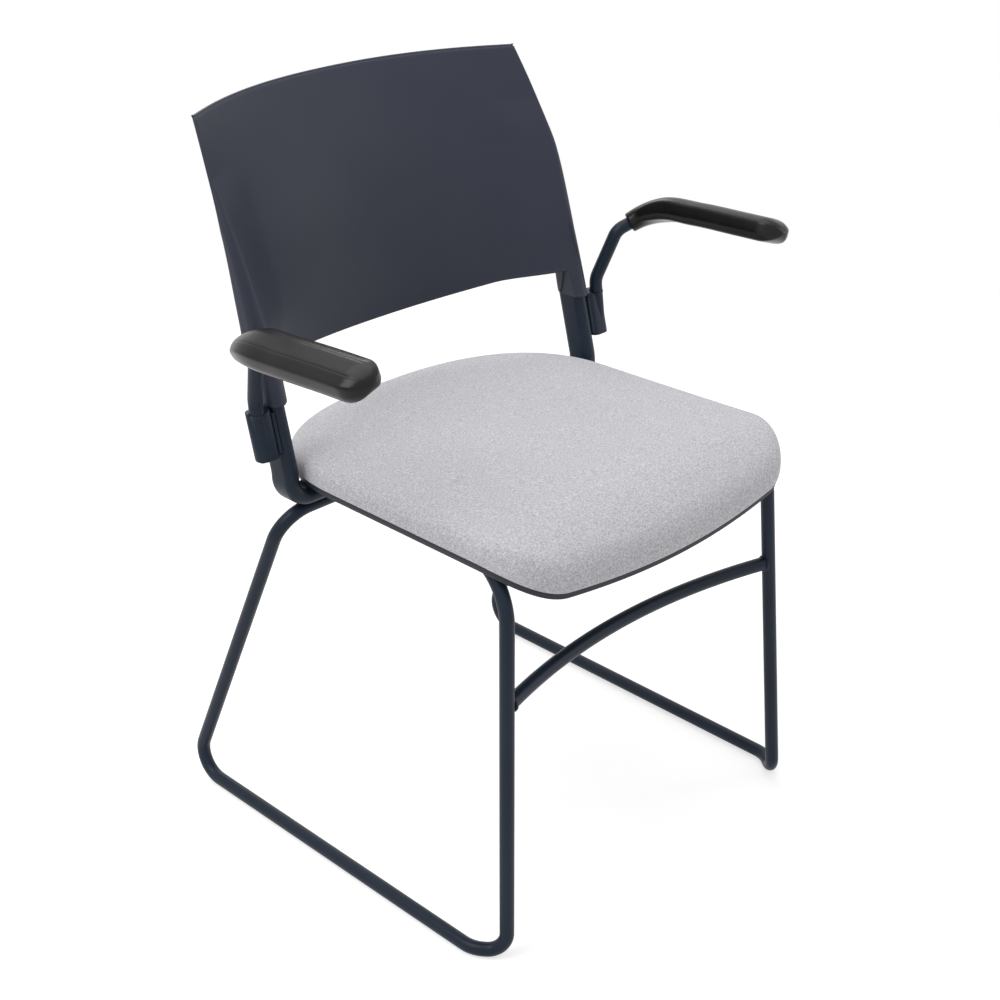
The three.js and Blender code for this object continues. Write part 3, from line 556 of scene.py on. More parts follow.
def foot_weld(side):
    """A bead along each side of the upright's foot, where it lies across on the cross run."""
    x = np.linspace(UPRIGHT_FOOT_HALF + FOOT_BEAD_END,
                    UPRIGHT_HALF - UPRIGHT_BEND - FOOT_BEAD_END, FOOT_BEAD_POINTS)
    z = np.full(x.shape, CROSS_Z + FACET_REACH - FOOT_BEAD_SUNK)
    beads = []
    for edge in (-1, 1):
        y = np.full(x.shape, CROSS_Y + edge * TUBE * FOOT_BEAD_SHARE)
        beads.append(weld_bead(np.stack([side * x, y, z], axis=-1), FOOT_BEAD, UP))
    return joined(beads)


def seam_weld(side):
    """Two upright beads, where the socket's inner curve meets the upright's flat."""
    z = np.linspace(SOCKET_BOTTOM_Z + SEAM_BEAD_END, SOCKET_TOP_Z - SEAM_BEAD_END, SEAM_BEAD_POINTS)
    x = np.full(z.shape, side * (UPRIGHT_HALF + UPRIGHT_THICK / 2 + SEAM_BEAD_OUT))
    beads = []
    for edge in (-1, 1):
        y = upright_y(z) - SOCKET_FORWARD + edge * SOCKET_DEEP * SEAM_BEAD_SHARE
        beads.append(weld_bead(np.stack([x, y, z], axis=-1), SEAM_BEAD, OUT))
    return joined(beads)


# Steel frame


def leg_at(z):
    """Half spacing and y of a front leg's middle at a height: a straight line from foot to top."""
    share = (z - TUBE) / (RAIL_Z - TUBE)
    return FOOT_HALF + (LEG_TOP_HALF - FOOT_HALF) * share, FOOT_Y + (LEG_TOP_Y - FOOT_Y) * share


def make_sled_tubes():
    """One round tube a side, bent at each of its corners."""
    for name, side in SIDES:
        tube = round_bar(mirrored(side, bent(SLED_LINE)), TUBE)
        piece(name + "_sled_tube_bent", *tube, COAT, "frame_coat", [name + "_sled_tube"])


def make_cross_tube():
    """The straight middle length of the cross run, with a weld ring at each end."""
    half = CROSS_JOINT_HALF - WELD_GAP
    tube = round_bar(np.array([(-half, CROSS_Y, CROSS_Z), (half, CROSS_Y, CROSS_Z)]), TUBE)
    piece("rear_cross_run", *tube, COAT, "frame_coat", ["rear_cross_tube"])
    for name, side in SIDES:
        end = (side * CROSS_JOINT_HALF, CROSS_Y, CROSS_Z)
        ring = weld_ring(end, OUT, TUBE + CROSS_WELD_OUT, CROSS_WELD)
        piece("cross_run_weld_" + name, *ring, COAT, "frame_coat")


def make_stretcher():
    """The bar bows back by bow (1 - (x / half)^2) and ends in the legs, with a ring at each end."""
    half, y = leg_at(STRETCHER_Z)
    across = np.linspace(-1, 1, STRETCHER_POINTS)
    inner = half - TUBE * STRETCHER_END_SHARE
    bowed = y + STRETCHER_BOW * (1 - (across * inner / half) ** 2)
    path = np.stack([across * inner, bowed, np.full(across.shape, STRETCHER_Z)], axis=-1)
    bar = round_bar(path, TUBE)
    piece("front_stretcher_bowed", *bar, COAT, "frame_coat", ["front_stretcher"])
    slope = 2 * STRETCHER_BOW / half
    inward = TUBE * STRETCHER_WELD_SHARE
    for name, side in SIDES:
        end = (side * (half - inward), y + slope * inward, STRETCHER_Z)
        ring = weld_ring(end, (1, -side * slope, 0), TUBE + STRETCHER_WELD_OUT, STRETCHER_WELD)
        piece(name + "_stretcher_weld", *ring, COAT, "frame_coat")


def upright_y(z):
    """Where an upright's middle lies at a height above its knee."""
    return CROSS_Y + LEAN * (z - KNEE_Z)


def make_uprights():
    """A flat oval tube bent in at the foot, knuckled at the knee and drawn down toward its top."""
    path = bent([
        (UPRIGHT_HALF, upright_y(UPRIGHT_TOP_Z), UPRIGHT_TOP_Z),
        (UPRIGHT_HALF, CROSS_Y, KNEE_Z, KNEE_BEND),
        (UPRIGHT_HALF, CROSS_Y, UPRIGHT_FOOT_Z, UPRIGHT_BEND),
        (UPRIGHT_FOOT_HALF, CROSS_Y, UPRIGHT_FOOT_Z),
    ])
    z = np.linspace(UPRIGHT_TOP_Z, DRAW_Z, UPRIGHT_TOP_POINTS)
    top = np.stack([np.full(z.shape, UPRIGHT_HALF), upright_y(z), z], axis=-1)
    path = np.vstack([top, path[1:]])
    drawn = np.clip((path[:, 2] - DRAW_Z) / (UPRIGHT_TOP_Z - DRAW_Z), 0, 1)
    share = 1 - (1 - UPRIGHT_TOP_SHARE) * drawn
    section = flat_oval(UPRIGHT_THICK, UPRIGHT_DEEP)[None]
    section = section * np.stack([np.ones_like(share), share], -1)[:, None]
    for name, side in SIDES:
        tube = skin(carried(mirrored(side, path), section, OUT))
        piece(name + "_upright_oval", *tube, COAT, "frame_coat", [name + "_upright"])
        piece(name + "_upright_weld", *foot_weld(side), COAT, "frame_coat")


# Arms


def make_sockets():
    """A flat oval block with softened ends and a countersunk bore, leaning with its upright."""
    edges = [(SOCKET_BOTTOM_Z + rise, inset) for rise, inset in SOCKET_FOOT_EDGE]
    edges += [(SOCKET_TOP_Z - fall, inset) for fall, inset in SOCKET_TOP_EDGE]
    rings = []
    for z, inset in edges:
        ring = flat_oval(SOCKET_DEEP - 2 * inset, SOCKET_WIDE - 2 * inset)
        rings.append(level_ring(ring, SOCKET_HALF, upright_y(z) - SOCKET_FORWARD, z))
    foot, bend = ARM_LINE[:2]
    bore_y = foot[1] + (bend[1] - foot[1]) * (SOCKET_TOP_Z - foot[2]) / (bend[2] - foot[2])
    for play, fall in BORE_RIM:
        ring = half_turns() * (ARM_TUBE + play)
        rings.append(level_ring(ring, ARM_FOOT_HALF, bore_y, SOCKET_TOP_Z - fall))
    for name, side in SIDES:
        block = skin(mirrored(side, rings))
        piece(name + "_arm_socket_block", *block, COAT, "frame_coat", [name + "_arm_socket"])
        piece(name + "_socket_weld", *seam_weld(side), COAT, "frame_coat")


def make_arm_tubes():
    """One round tube a side, bent at each corner of the arm's line."""
    for name, side in SIDES:
        tube = round_bar(mirrored(side, bent(ARM_LINE)), ARM_TUBE, BACK)
        piece(name + "_arm_tube_bent", *tube, COAT, "frame_coat", [name + "_arm_tube"])


def pad_section():
    """The pad's section by angle: reach = (sum over its faces of (n . d / h)^crisp)^(-1 / crisp).

    That is a flat top between two sloping shoulders, upright sides and a rounded underside. A
    shallow flute is let in where the top meets each shoulder. The plain circle comes with it.
    """
    angle = np.arange(PAD_AROUND) * 2 * math.pi / PAD_AROUND
    direction = circle(1, PAD_AROUND)
    faces = [np.maximum(direction @ np.array(way), 0) / out for way, out in PAD_FACES]
    reach = sum(face**PAD_CRISP for face in faces) ** (-1 / PAD_CRISP)
    for place in (FLUTE_ANGLE, math.pi - FLUTE_ANGLE):
        reach = reach - FLUTE_DEPTH * np.exp(-((angle - place) / FLUTE_HALF) ** 2)
    return direction * reach[:, None] / (np.array([PAD_WIDE, PAD_THICK]) / 2), direction


def make_pads():
    """A round collar that spreads as a sine into the full section and closes in a blunt nose."""
    dense = curve_through(PAD_LINE, PAD_LINE_POINTS)
    length = np.concatenate([[0], np.cumsum(np.linalg.norm(np.diff(dense, axis=0), axis=1))])
    total = length[-1]
    share = (1 - np.cos(np.linspace(0, math.pi, PAD_ROWS))) / 2
    line = np.stack([np.interp(share * total, length, dense[:, k]) for k in range(3)], axis=-1)
    spread = np.sin(np.clip(share * total / PAD_SPREAD, 0, 1) * math.pi / 2)
    to_tip = np.clip((1 - share) * total / PAD_NOSE, 0, 1)
    to_collar = np.clip(share * total / PAD_COLLAR_EDGE, 0, 1)
    drawn = np.sqrt(1 - (1 - to_tip) ** 2) * (1 - PAD_COLLAR_EDGE_SHARE * (1 - to_collar) ** 2)
    drawn[-1] = PAD_TIP_SHARE
    wide = PAD_WIDE * drawn * (PAD_COLLAR_WIDE_SHARE + (1 - PAD_COLLAR_WIDE_SHARE) * spread)
    thick = PAD_THICK * drawn * (PAD_COLLAR_THICK_SHARE + (1 - PAD_COLLAR_THICK_SHARE) * spread)
    full, plain = pad_section()
    formed = smooth(spread)[:, None, None]
    sections = (full * formed + plain * (1 - formed)) * np.stack([wide, thick], -1)[:, None] / 2
    for name, side in SIDES:
        roll = (math.cos(PAD_ROLL), 0, -side * math.sin(PAD_ROLL))
        pad = skin(carried(mirrored(side, line), sections, roll))
        piece(name + "_arm_pad_moulded", *pad, PAD, "pad_black", [name + "_arm_pad"])


# Seat


def seat_outline(inset):
    """Half the seat in plan, drawn in by inset, then its mirror image.

    The front is a parabola, the corner an arc, the side straight and the rear a superellipse.
    """
    corner_x = SEAT_HALF - SEAT_FRONT_BEND
    bow_x = (corner_x + math.sqrt(corner_x**2 + 8 * SEAT_FRONT_BOW * SEAT_FRONT_BEND)) / 2
    slope = math.atan(2 * SEAT_FRONT_BOW / bow_x)
    radius = SEAT_FRONT_BEND - inset
    corner_y = SEAT_FRONT_Y + SEAT_FRONT_BOW + SEAT_FRONT_BEND * math.cos(slope)
    share = np.arange(SEAT_FRONT_POINTS) / SEAT_FRONT_POINTS
    end_x = corner_x + radius * math.sin(slope)
    end_y = corner_y - radius * math.cos(slope)
    front_y = SEAT_FRONT_Y + inset
    front = (end_x * share, front_y + (end_y - front_y) * share**2)
    angle = np.linspace(slope, math.pi / 2, SEAT_CORNER_POINTS)
    corner = (corner_x + radius * np.sin(angle), corner_y - radius * np.cos(angle))
    share = np.arange(1, SEAT_SIDE_POINTS) / SEAT_SIDE_POINTS
    side = (np.full(share.shape, SEAT_HALF - inset),
            corner_y + (SEAT_SIDE_END_Y - corner_y) * share)
    angle = np.linspace(0, math.pi / 2, SEAT_REAR_POINTS)
    power = 2 / SEAT_REAR_POWER
    rear = ((SEAT_HALF - inset) * np.clip(np.cos(angle), 0, 1) ** power,
            SEAT_SIDE_END_Y + (SEAT_REAR_Y - SEAT_SIDE_END_Y - inset) * np.sin(angle) ** power)
    half = np.concatenate([np.stack(run, axis=-1) for run in (front, corner, side, rear)])
    return np.concatenate([half, half[-2:0:-1] * np.array([-1, 1])])


def waterfall(y):
    """How far the seat has fallen: a parabola from the line where it starts to the front edge."""
    share = np.clip((WATERFALL_Y - y) / (WATERFALL_Y - SEAT_FRONT_Y), 0, None)
    return WATERFALL_DROP * share**2


def seat_rings(rows):
    """Rings from (inset, share, height) rows. The share scales a ring about the seat's centre, and
    the height is a number or a function of y, from which the waterfall is taken."""
    rings = []
    for inset, scale, height in rows:
        plan = seat_outline(inset)
        x, y = plan[:, 0] * scale, SEAT_CENTRE_Y + (plan[:, 1] - SEAT_CENTRE_Y) * scale
        level = height(y) if callable(height) else height
        rings.append(np.stack([x, y, level - waterfall(y)], axis=-1))
    return np.array(rings)


def make_pan():
    """An inverted tray: flat skin, a wall stepped in for the cushion, and a thin hanging rim."""
    soft = PAN_ROUND
    wall, shelf_z = PAN_STEP + PAN_LIP, PAN_STEP_Z - PAN_LIP
    inner = [(PAN_INSETS[0], share, PAN_UNDER_Z) for share in PAN_SHARES]
    inner += [(inset, 1, PAN_UNDER_Z) for inset in PAN_INSETS]
    rim = [
        (wall + soft, PAN_UNDER_Z), (wall, PAN_UNDER_Z - soft), (wall, shelf_z + soft),
        (wall - soft, shelf_z), (PAN_LIP + soft, shelf_z), (PAN_LIP, shelf_z - soft),
        (PAN_LIP, PAN_RIM_Z + soft), (PAN_LIP - soft / 2, PAN_RIM_Z + soft / 4),
        (PAN_LIP / 2, PAN_RIM_Z), (soft / 2, PAN_RIM_Z + soft / 4), (0, PAN_RIM_Z + soft),
        (0, PAN_STEP_Z - soft), (soft / 3, PAN_STEP_Z - soft / 3), (soft, PAN_STEP_Z),
        (PAN_STEP, PAN_STEP_Z), (PAN_STEP, PAN_TOP_Z),
    ]
    outer = [(inset, share, PAN_TOP_Z) for inset, share, _ in reversed(inner)]
    tray = skin(seat_rings(inner + [(inset, 1, z) for inset, z in rim] + outer))
    piece("seat_pan_moulded", *tray, PAN, "pan_plastic", ["seat_pan"])


def cushion_rows():
    """The cushion's rings, from its underside out round its rolled side to its crown.

    The side swells out as sin a while it rises as 1 - cos a, and turns in along a superellipse. The
    crown rises toward the middle as the mean of a squared cosine and a straight line.
    """
    base = PAN_STEP_Z + WELD_GAP
    under = PAN_TOP_Z + SOFT_GAP
    edge = PAN_STEP - SOFT_GAP

    def shoulder(y):
        share = (y - SEAT_FRONT_Y) / (SEAT_REAR_Y - SEAT_FRONT_Y)
        return CUSHION_FRONT + (CUSHION_REAR - CUSHION_FRONT) * share

    def raised(share, crown=0.0):
        return lambda y: base + shoulder(y) * share + CUSHION_CROWN * crown

    rows = [(CUSHION_UNDER_INSETS[0], share, under) for share in CUSHION_UNDER_SHARES]
    rows += [(inset, 1, under) for inset in CUSHION_UNDER_INSETS]
    rows += [(edge, 1, under - SOFT_GAP), (edge, 1, base + CUSHION_LIP),
             (PAN_STEP - CUSHION_LIP_IN, 1, base)]
    for t in np.linspace(0, 1, CUSHION_SIDE_ROWS):
        angle = t * math.pi / 2
        inset = CUSHION_SIDE_INSET - (CUSHION_BULGE + CUSHION_SIDE_INSET) * math.sin(angle)
        rows.append((inset, 1, raised(CUSHION_ROLL_SHARE * (1 - math.cos(angle)))))
    power = 2 / CUSHION_ROLL_POWER
    for t in np.linspace(0, 1, CUSHION_ROLL_ROWS)[1:]:
        angle = t * math.pi / 2
        inset = CUSHION_SHOULDER * (1 - abs(math.cos(angle)) ** power) - CUSHION_BULGE
        rise = CUSHION_ROLL_SHARE + (1 - CUSHION_ROLL_SHARE) * math.sin(angle) ** power
        rows.append((inset, 1, raised(rise)))
    for share in np.linspace(1, CUSHION_HUB_SHARE, CUSHION_TOP_ROWS)[1:]:
        crown = (math.cos(math.pi / 2 * share) ** 2 + (1 - share)) / 2
        rows.append((CUSHION_SHOULDER - CUSHION_BULGE, share, raised(1, crown)))
    return rows


def swell(made):
    """Blows a piece up as cloth, held where it grips the pan, with a cap on each point's move."""
    mesh = made.data
    start = places(mesh)
    held = made.vertex_groups.new(name="held")
    under_hub = len(mesh.vertices) - 2
    held.add([*range(HELD_ROWS * len(seat_outline(0))), under_hub], 1.0, "REPLACE")
    cloth = made.modifiers.new("swell", "CLOTH")
    cloth.settings.use_pressure = True
    cloth.settings.uniform_pressure_force = SWELL_PRESSURE
    cloth.settings.effector_weights.gravity = 0
    cloth.settings.vertex_group_mass = "held"
    cloth.point_cache.frame_start, cloth.point_cache.frame_end = 1, SWELL_FRAMES
    for number in range(1, SWELL_FRAMES + 1):
        bpy.context.scene.frame_set(number)
    blown = made.evaluated_get(bpy.context.evaluated_depsgraph_get())
    move = places(blown.data) - start
    far = np.linalg.norm(move, axis=1, keepdims=True)
    move = move * np.minimum(1, SWELL_CAP * MM / np.maximum(far, LEAST_MOVE))
    made.modifiers.remove(cloth)
    made.vertex_groups.remove(held)
    mesh.vertices.foreach_set("co", (start + move).ravel())
    mesh.update()
    bpy.context.scene.frame_set(1)
    print("swelled by up to", round(float(far.max() / MM), 1), "mm")


def make_cushion():
    """The upholstered cushion, one closed crowned form, blown up a little as cloth."""
    form = skin(seat_rings(cushion_rows()))
    made = piece("seat_cushion_cloth", *form, CLOTH, "seat_fabric", ["seat_cushion"],
                 CUSHION_SHARP_ANGLE)
    swell(made)


# Back shell


def shell_edge(z):
    """Half width and y of the shell's side edge, which leans as sweep r + flare r^2 at a rise r."""
    draw = np.clip((z - SHELL_WAIST_Z) / (SHELL_TOP_Z - SHELL_WAIST_Z), 0, 1)
    rise = z - SHELL_BOTTOM_Z
    half = SHELL_HALF + (SHELL_TOP_HALF - SHELL_HALF) * draw**SHELL_DRAW
    return half, SHELL_EDGE_Y + SHELL_SWEEP * rise + SHELL_FLARE * rise**2


def sleeve_at(z):
    """A sleeve's half spacing, y, thickness and depth. It fades into the shell's edge as it rises.

    Its middle is the farther back of the upright's and the sheet's, less what the fillet adds.
    """
    half, edge_y = shell_edge(z)
    fade = np.clip((z - SLEEVE_BOTTOM_Z) / (SLEEVE_TOP_Z - SLEEVE_BOTTOM_Z), 0, 1) ** SLEEVE_TAPER
    deep = np.maximum(SLEEVE_DEEP * (1 + (SLEEVE_TOP_SHARE - 1) * fade), SHELL_THICK)
    slim = np.clip((z - UPRIGHT_TOP_Z) / (SLEEVE_TOP_Z - UPRIGHT_TOP_Z), 0, 1)
    thick = np.minimum(SLEEVE_THICK * (1 + (SLEEVE_TOP_THICK_SHARE - 1) * slim), deep)
    outer = UPRIGHT_HALF + SLEEVE_THICK / 2 - (SHELL_HALF - half)
    sheet_middle = edge_y + SHELL_THICK / 2 * fade
    sleeve_y = blend(upright_y(z), sheet_middle, SLEEVE_FILLET, -1) - SLEEVE_FILLET / 4
    return outer - thick / 2, sleeve_y, thick, deep


def sheet_bottom(x):
    """The lower edge of the sheet, which rises from its middle as |x / half|^roundness."""
    share = np.clip(x / SHELL_HALF, 0, 1) ** SHELL_ROUNDNESS
    return SHELL_BOTTOM_Z - SHELL_SAG + (SHELL_SAG + SHELL_CORNER_RISE) * share


def shell_faces(x, z):
    """The front and back y of the shell at x and z: the hollow sheet run on into the sleeve's oval.

    The sheet is y = edge + depth (1 - |x / half|^roundness). Near its sides it curls forward, so
    that it meets the sleeve's nose on a common tangent. The oval's rear end is a circular arc that
    runs on into a steep drafted wall on the inner side.
    """
    half, edge_y = shell_edge(z)
    middle, sleeve_y, thick, deep = sleeve_at(z)
    radius, flat = thick / 2, (deep - thick) / 2
    rise = (z - SHELL_BOTTOM_Z) / (SHELL_TOP_Z - SHELL_BOTTOM_Z)
    rise = np.clip(rise, SHELL_LEAST_RISE, 1)
    depth = SHELL_DEPTH_BOTTOM + (SHELL_DEPTH_TOP - SHELL_DEPTH_BOTTOM) * rise

    def hollow(at_x):
        share = np.abs(at_x / half)
        slope = depth / half * SHELL_ROUNDNESS * share ** (SHELL_ROUNDNESS - 1)
        return edge_y + depth * (1 - share**SHELL_ROUNDNESS), slope

    sheet, slope = hollow(x)
    spread = SHELL_THICK * np.sqrt(1 + slope**2)
    steep = hollow(middle - radius / 2)[1]
    lean = steep / np.sqrt(1 + steep**2)
    meet = middle - radius * lean
    nose = sleeve_y - flat - radius * np.sqrt(1 - lean**2)
    curl = np.maximum(hollow(meet)[0] - nose, 0)
    sheet = sheet - curl * smooth((x - meet + CURL_WIDTH) / CURL_WIDTH)
    off = np.clip((x - middle) / radius, -WALL_START, 1)
    arc = radius * np.sqrt(np.maximum(1 - off**2, 0))
    wall = WALL_SLOPE * np.maximum(middle - WALL_START * radius - x, 0)
    front = np.where(x < meet, sheet, sleeve_y - flat - arc)
    away = np.clip((x - middle) / radius, 0, 1) ** 2 * radius
    fillet = BACK_FILLET * thick / SLEEVE_THICK
    back = blend(sheet + spread - away, sleeve_y + flat + arc - wall, fillet, -1)
    return front, back


def shell_columns():
    """For each column of half a section, how far along the sheet and across the sleeve it lies.

    The first array runs from 0 in the middle of the chair to 1 just inside the sleeve. The second
    is in sleeve thicknesses from its inner side. The third is 0 on the sheet, 1 on the sleeve.
    """
    wall = np.linspace(SHEET_END, WALL_END, WALL_COLUMNS)[1:]
    fillet = np.linspace(WALL_END, FILLET_END, FILLET_COLUMNS)[1:]
    nose = FILLET_END + (1 - FILLET_END) * np.sin(np.linspace(0, math.pi / 2, NOSE_COLUMNS)[1:])
    across = np.concatenate([np.full(SHEET_COLUMNS, SHEET_END), wall, fillet, nose])
    along = np.ones(len(across))
    along[:SHEET_COLUMNS] = np.linspace(0, 1, SHEET_COLUMNS)
    return along, across, smooth((across - ON_SLEEVE_START) / ON_SLEEVE_WIDTH)


def half_section(z, along, across):
    """Half the section at each row's heights: the front from the middle out, the flat, the back."""
    middle, _, thick, _ = sleeve_at(z)
    x = (middle - thick / 2 + across * thick) * along
    front, back = shell_faces(x, z)
    front, back = (np.minimum(front, back - SHELL_LEAST_THICK),
                   np.maximum(back, front + SHELL_LEAST_THICK))
    turn = np.linspace(0, 1, FLAT_COLUMNS + 2)[1:-1]
    flat_y = front[:, -1:] + (back - front)[:, -1:] * turn
    flat_x, flat_z = (np.repeat(value[:, -1:], FLAT_COLUMNS, 1) for value in (x, z))
    return np.concatenate([np.stack([x, front, z], -1), np.stack([flat_x, flat_y, flat_z], -1),
                           np.stack([x, back, z], -1)[:, ::-1]], axis=1)


def shell_ends(index, half_points):
    """Faces over the shell's lower and upper end: ladders of quads from its front to its back."""
    step = np.arange(half_points // 2)
    right = np.stack([step, half_points - 1 - step], -1)
    left = np.stack([index.shape[1] - step[1:], half_points - 1 + step[1:]], -1)
    left = np.vstack([right[:1], left])
    faces = []
    for row, order in ((index[0], 1), (index[-1], -1)):
        for ladder, turn in ((row[right], order), (row[left], -order)):
            quads = np.concatenate([ladder[:-1], ladder[1:, ::-1]], axis=-1)
            faces += quads[:, ::turn].tolist()
    return faces


def make_shell():
    """A hollow sheet, swept back as it rises, whose sides swell into sleeves over the uprights.

    Rows run from the lower edge to the top, and both edges are rounded by drawing the section in by
    r (1 - cos a) while it is lifted by r (1 - sin a).
    """
    along, across, on_sleeve = shell_columns()
    x = (UPRIGHT_HALF - SLEEVE_THICK / 2 + across * SLEEVE_THICK) * along
    bottom = sheet_bottom(x)
    bottom = bottom + (SLEEVE_BOTTOM_Z - bottom) * on_sleeve
    share = np.linspace(0, 1, SHELL_ROWS + 2)[1:-1]
    share = np.concatenate([np.zeros(SHELL_EDGE_ROWS), share, np.ones(SHELL_EDGE_ROWS)])
    z = bottom + (SHELL_TOP_Z - bottom) * share[:, None]
    right = half_section(z, along, across)
    left = right[:, ::-1][:, 1:-1] * np.array([-1, 1, 1])
    loop = np.concatenate([right, left], axis=1)

    radius = SHELL_THICK / 2 - SHELL_EDGE_FLAT
    angle, level = np.linspace(0, math.pi / 2, SHELL_EDGE_ROWS), np.zeros(SHELL_ROWS)
    drawn, lifted = radius * (1 - np.cos(angle)), radius * (1 - np.sin(angle))
    draw_in = np.concatenate([drawn[::-1], level, drawn])
    lift = np.concatenate([lifted[::-1], level, -lifted])
    step = np.roll(loop, -1, axis=1) - np.roll(loop, 1, axis=1)
    inward = unit(np.stack([-step[..., 1], step[..., 0], np.zeros(step.shape[:2])], -1))
    loop = loop + inward * draw_in[:, None, None] + np.array(UP) * lift[:, None, None]

    index, quads = walls(*loop.shape[:2])
    faces = quads + shell_ends(index, right.shape[1])
    piece("back_shell_moulded", loop.reshape(-1, 3), faces, SHELL, "shell_plastic", ["back_shell"],
          SHELL_SHARP_ANGLE)


# Screws


def screw_head(seat, direction):
    """A domed head turned round its axis, sunk in the middle for a hexagon key."""
    direction = unit(np.array(direction, float))
    first = unit(np.cross(direction, HEAD_START))
    second = np.cross(direction, first)
    turn = np.arange(HEAD_AROUND) * 2 * math.pi / HEAD_AROUND
    out = np.cos(turn)[:, None] * first + np.sin(turn)[:, None] * second
    flats = math.cos(math.pi / 6) / np.cos((turn + math.pi / 6) % (math.pi / 3) - math.pi / 6)
    rings = []
    for profile, shape in ((HEAD_DOME, np.ones(HEAD_AROUND)), (HEAD_HEXAGON, flats)):
        for rise, reach in profile:
            ring = (HEAD_RADIUS * reach * shape)[:, None] * out
            rings.append(np.array(seat) - direction * HEAD_HEIGHT * rise + ring)
    return skin(np.array(rings))


def make_screws():
    """Each screw shows only its head, a head's height inside the end of its node's own box."""
    for node_name in sorted(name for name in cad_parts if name.endswith("_screw")):
        low, high = np.array(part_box(node_name)) / MM - np.array([0, SHIFT_Y, 0])
        x, y, z = (low + high) / 2
        if "back" in node_name:
            seat, direction = (x, high[1] - HEAD_HEIGHT, z + BACK_SCREW_RISE), BACK_SCREW_WAY
        else:
            seat, direction = (x, y, low[2] + HEAD_HEIGHT), UP
        head = screw_head(seat, direction)
        piece(node_name + "_head", *head, SCREW, "screw_black", [node_name])


def dress_tabs():
    """The seat tabs keep their frame meshes and take the frame's coat."""
    for node_name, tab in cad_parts.items():
        if node_name.endswith("_tab"):
            tab.data.materials.clear()
            tab.data.materials.append(COAT)


make_sled_tubes()
make_cross_tube()
make_stretcher()
make_uprights()
make_sockets()
make_arm_tubes()
make_pads()
make_pan()
make_cushion()
make_shell()
make_screws()
dress_tabs()


# Studio


def seen_directly(nodes, links):
    """1 for camera, glossy and transmission rays, 0 for the rays that light the object."""
    path = node(nodes, "ShaderNodeLightPath")
    seen = path.outputs["Is Camera Ray"]
    for kind in ("Is Glossy Ray", "Is Transmission Ray"):
        either = node(nodes, "ShaderNodeMath", operation="MAXIMUM")
        links.new(seen, either.inputs[0])
        links.new(path.outputs[kind], either.inputs[1])
        seen = either.outputs["Value"]
    return seen


def faded(nodes, links, distance, near):
    """A value that runs from near to 1 as a distance grows past the chair."""
    return ranged(nodes, links, distance,
                  from_min=FADE_FROM, from_max=FADE_TO, to_min=near, to_max=1.0)


def studio_white():
    """A pale surface that the camera, gloss and glass see as white, and that takes shadows nearby.

    They see a share of plain emission over the lit surface. Both grow to 1 away from the chair.
    """
    made, nodes, links, shader = material("studio_white")
    shader.inputs["Base Color"].default_value = (FLOOR_SHADE, FLOOR_SHADE, FLOOR_SHADE, 1)
    shader.inputs["Roughness"].default_value = FLOOR_ROUGHNESS
    shader.inputs["Specular IOR Level"].default_value = 0.0
    place = node(nodes, "ShaderNodeTexCoord")
    away = node(nodes, "ShaderNodeVectorMath", operation="LENGTH")
    links.new(place.outputs["Object"], away.inputs[0])
    distance = away.outputs["Value"]
    glow = node(nodes, "ShaderNodeEmission")
    links.new(faded(nodes, links, distance, NEAR_GLOW), glow.inputs["Strength"])
    share = node(nodes, "ShaderNodeMath", operation="MULTIPLY")
    links.new(seen_directly(nodes, links), share.inputs[0])
    links.new(faded(nodes, links, distance, NEAR_SHARE), share.inputs[1])
    mix = node(nodes, "ShaderNodeMixShader")
    links.new(share.outputs["Value"], mix.inputs["Fac"])
    links.new(shader.outputs["BSDF"], mix.inputs[1])
    links.new(glow.outputs["Emission"], mix.inputs[2])
    links.new(mix.outputs["Shader"], nodes["Material Output"].inputs["Surface"])
    return made


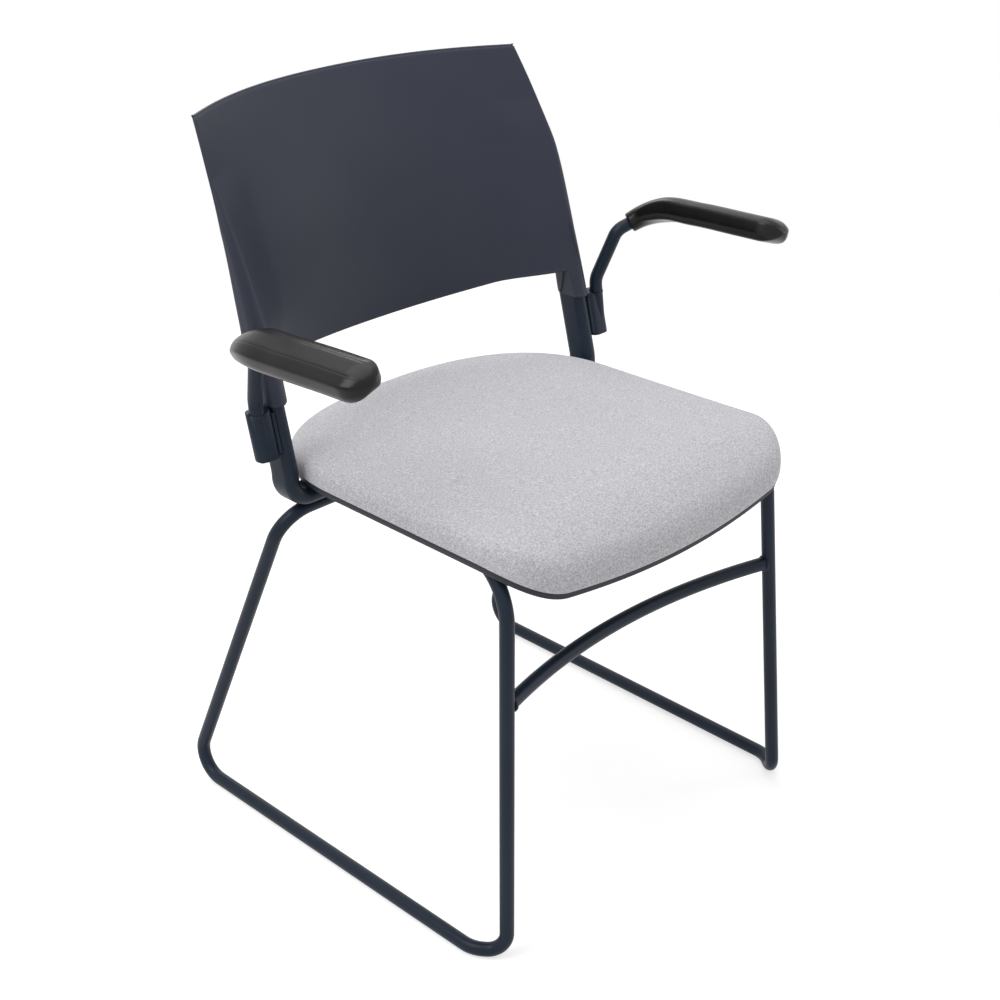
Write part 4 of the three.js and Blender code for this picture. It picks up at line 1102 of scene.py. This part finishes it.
def make_floor():
    """One level square under the chair."""
    mesh = bpy.data.meshes.new("studio_floor")
    corners = np.array([(-1, -1, 0), (1, -1, 0), (1, 1, 0), (-1, 1, 0)]) * FLOOR_REACH
    mesh.from_pydata(corners.tolist(), [], [(0, 1, 2, 3)])
    mesh.materials.append(studio_white())
    floor = bpy.data.objects.new("studio_floor", mesh)
    bpy.context.scene.collection.objects.link(floor)


def make_world():
    """Soft even light from all round, seen as plain white by the camera, gloss and glass."""
    world = bpy.data.worlds.new("studio_world")
    bpy.context.scene.world = world
    world.use_nodes = True
    nodes, links = world.node_tree.nodes, world.node_tree.links
    background = nodes["Background"]
    background.inputs["Color"].default_value = (1, 1, 1, 1)
    seen = seen_directly(nodes, links)
    strength = ranged(nodes, links, seen, to_min=WORLD_LIGHT, to_max=1.0)
    links.new(strength, background.inputs["Strength"])


def make_lamp(name, place, target, size, power):
    """A rectangular lamp at a place, turned to face its target."""
    lamp = bpy.data.lights.new(name, "AREA")
    lamp.shape = "RECTANGLE"
    lamp.size, lamp.size_y = size
    lamp.energy = power
    made = bpy.data.objects.new(name, lamp)
    bpy.context.scene.collection.objects.link(made)
    made.location = place
    made.rotation_mode = "QUATERNION"
    made.rotation_quaternion = (Vector(target) - Vector(place)).to_track_quat("-Z", "Y")


def make_camera():
    """Where the photograph was taken from: its place, direction and lens."""
    azimuth, elevation = math.radians(CAMERA_AZIMUTH), math.radians(CAMERA_ELEVATION)
    data = bpy.data.cameras.new("photo_camera")
    data.sensor_width = SENSOR_WIDTH
    data.lens = FOCAL_PIXELS / IMAGE_PIXELS * SENSOR_WIDTH
    made = bpy.data.objects.new("photo_camera", data)
    bpy.context.scene.collection.objects.link(made)
    made.location = Vector((CAMERA_X, CAMERA_Y + SHIFT_Y, CAMERA_Z)) * MM
    level = math.cos(elevation)
    forward = Vector((-math.sin(azimuth) * level, math.cos(azimuth) * level, -math.sin(elevation)))
    made.rotation_mode = "QUATERNION"
    made.rotation_quaternion = forward.to_track_quat("-Z", "Y")
    bpy.context.scene.camera = made


make_floor()
make_world()
for lamp_name, lamp_values in LAMPS.items():
    make_lamp(lamp_name, *lamp_values)
make_camera()

scene = bpy.context.scene
scene.view_settings.view_transform = "Standard"
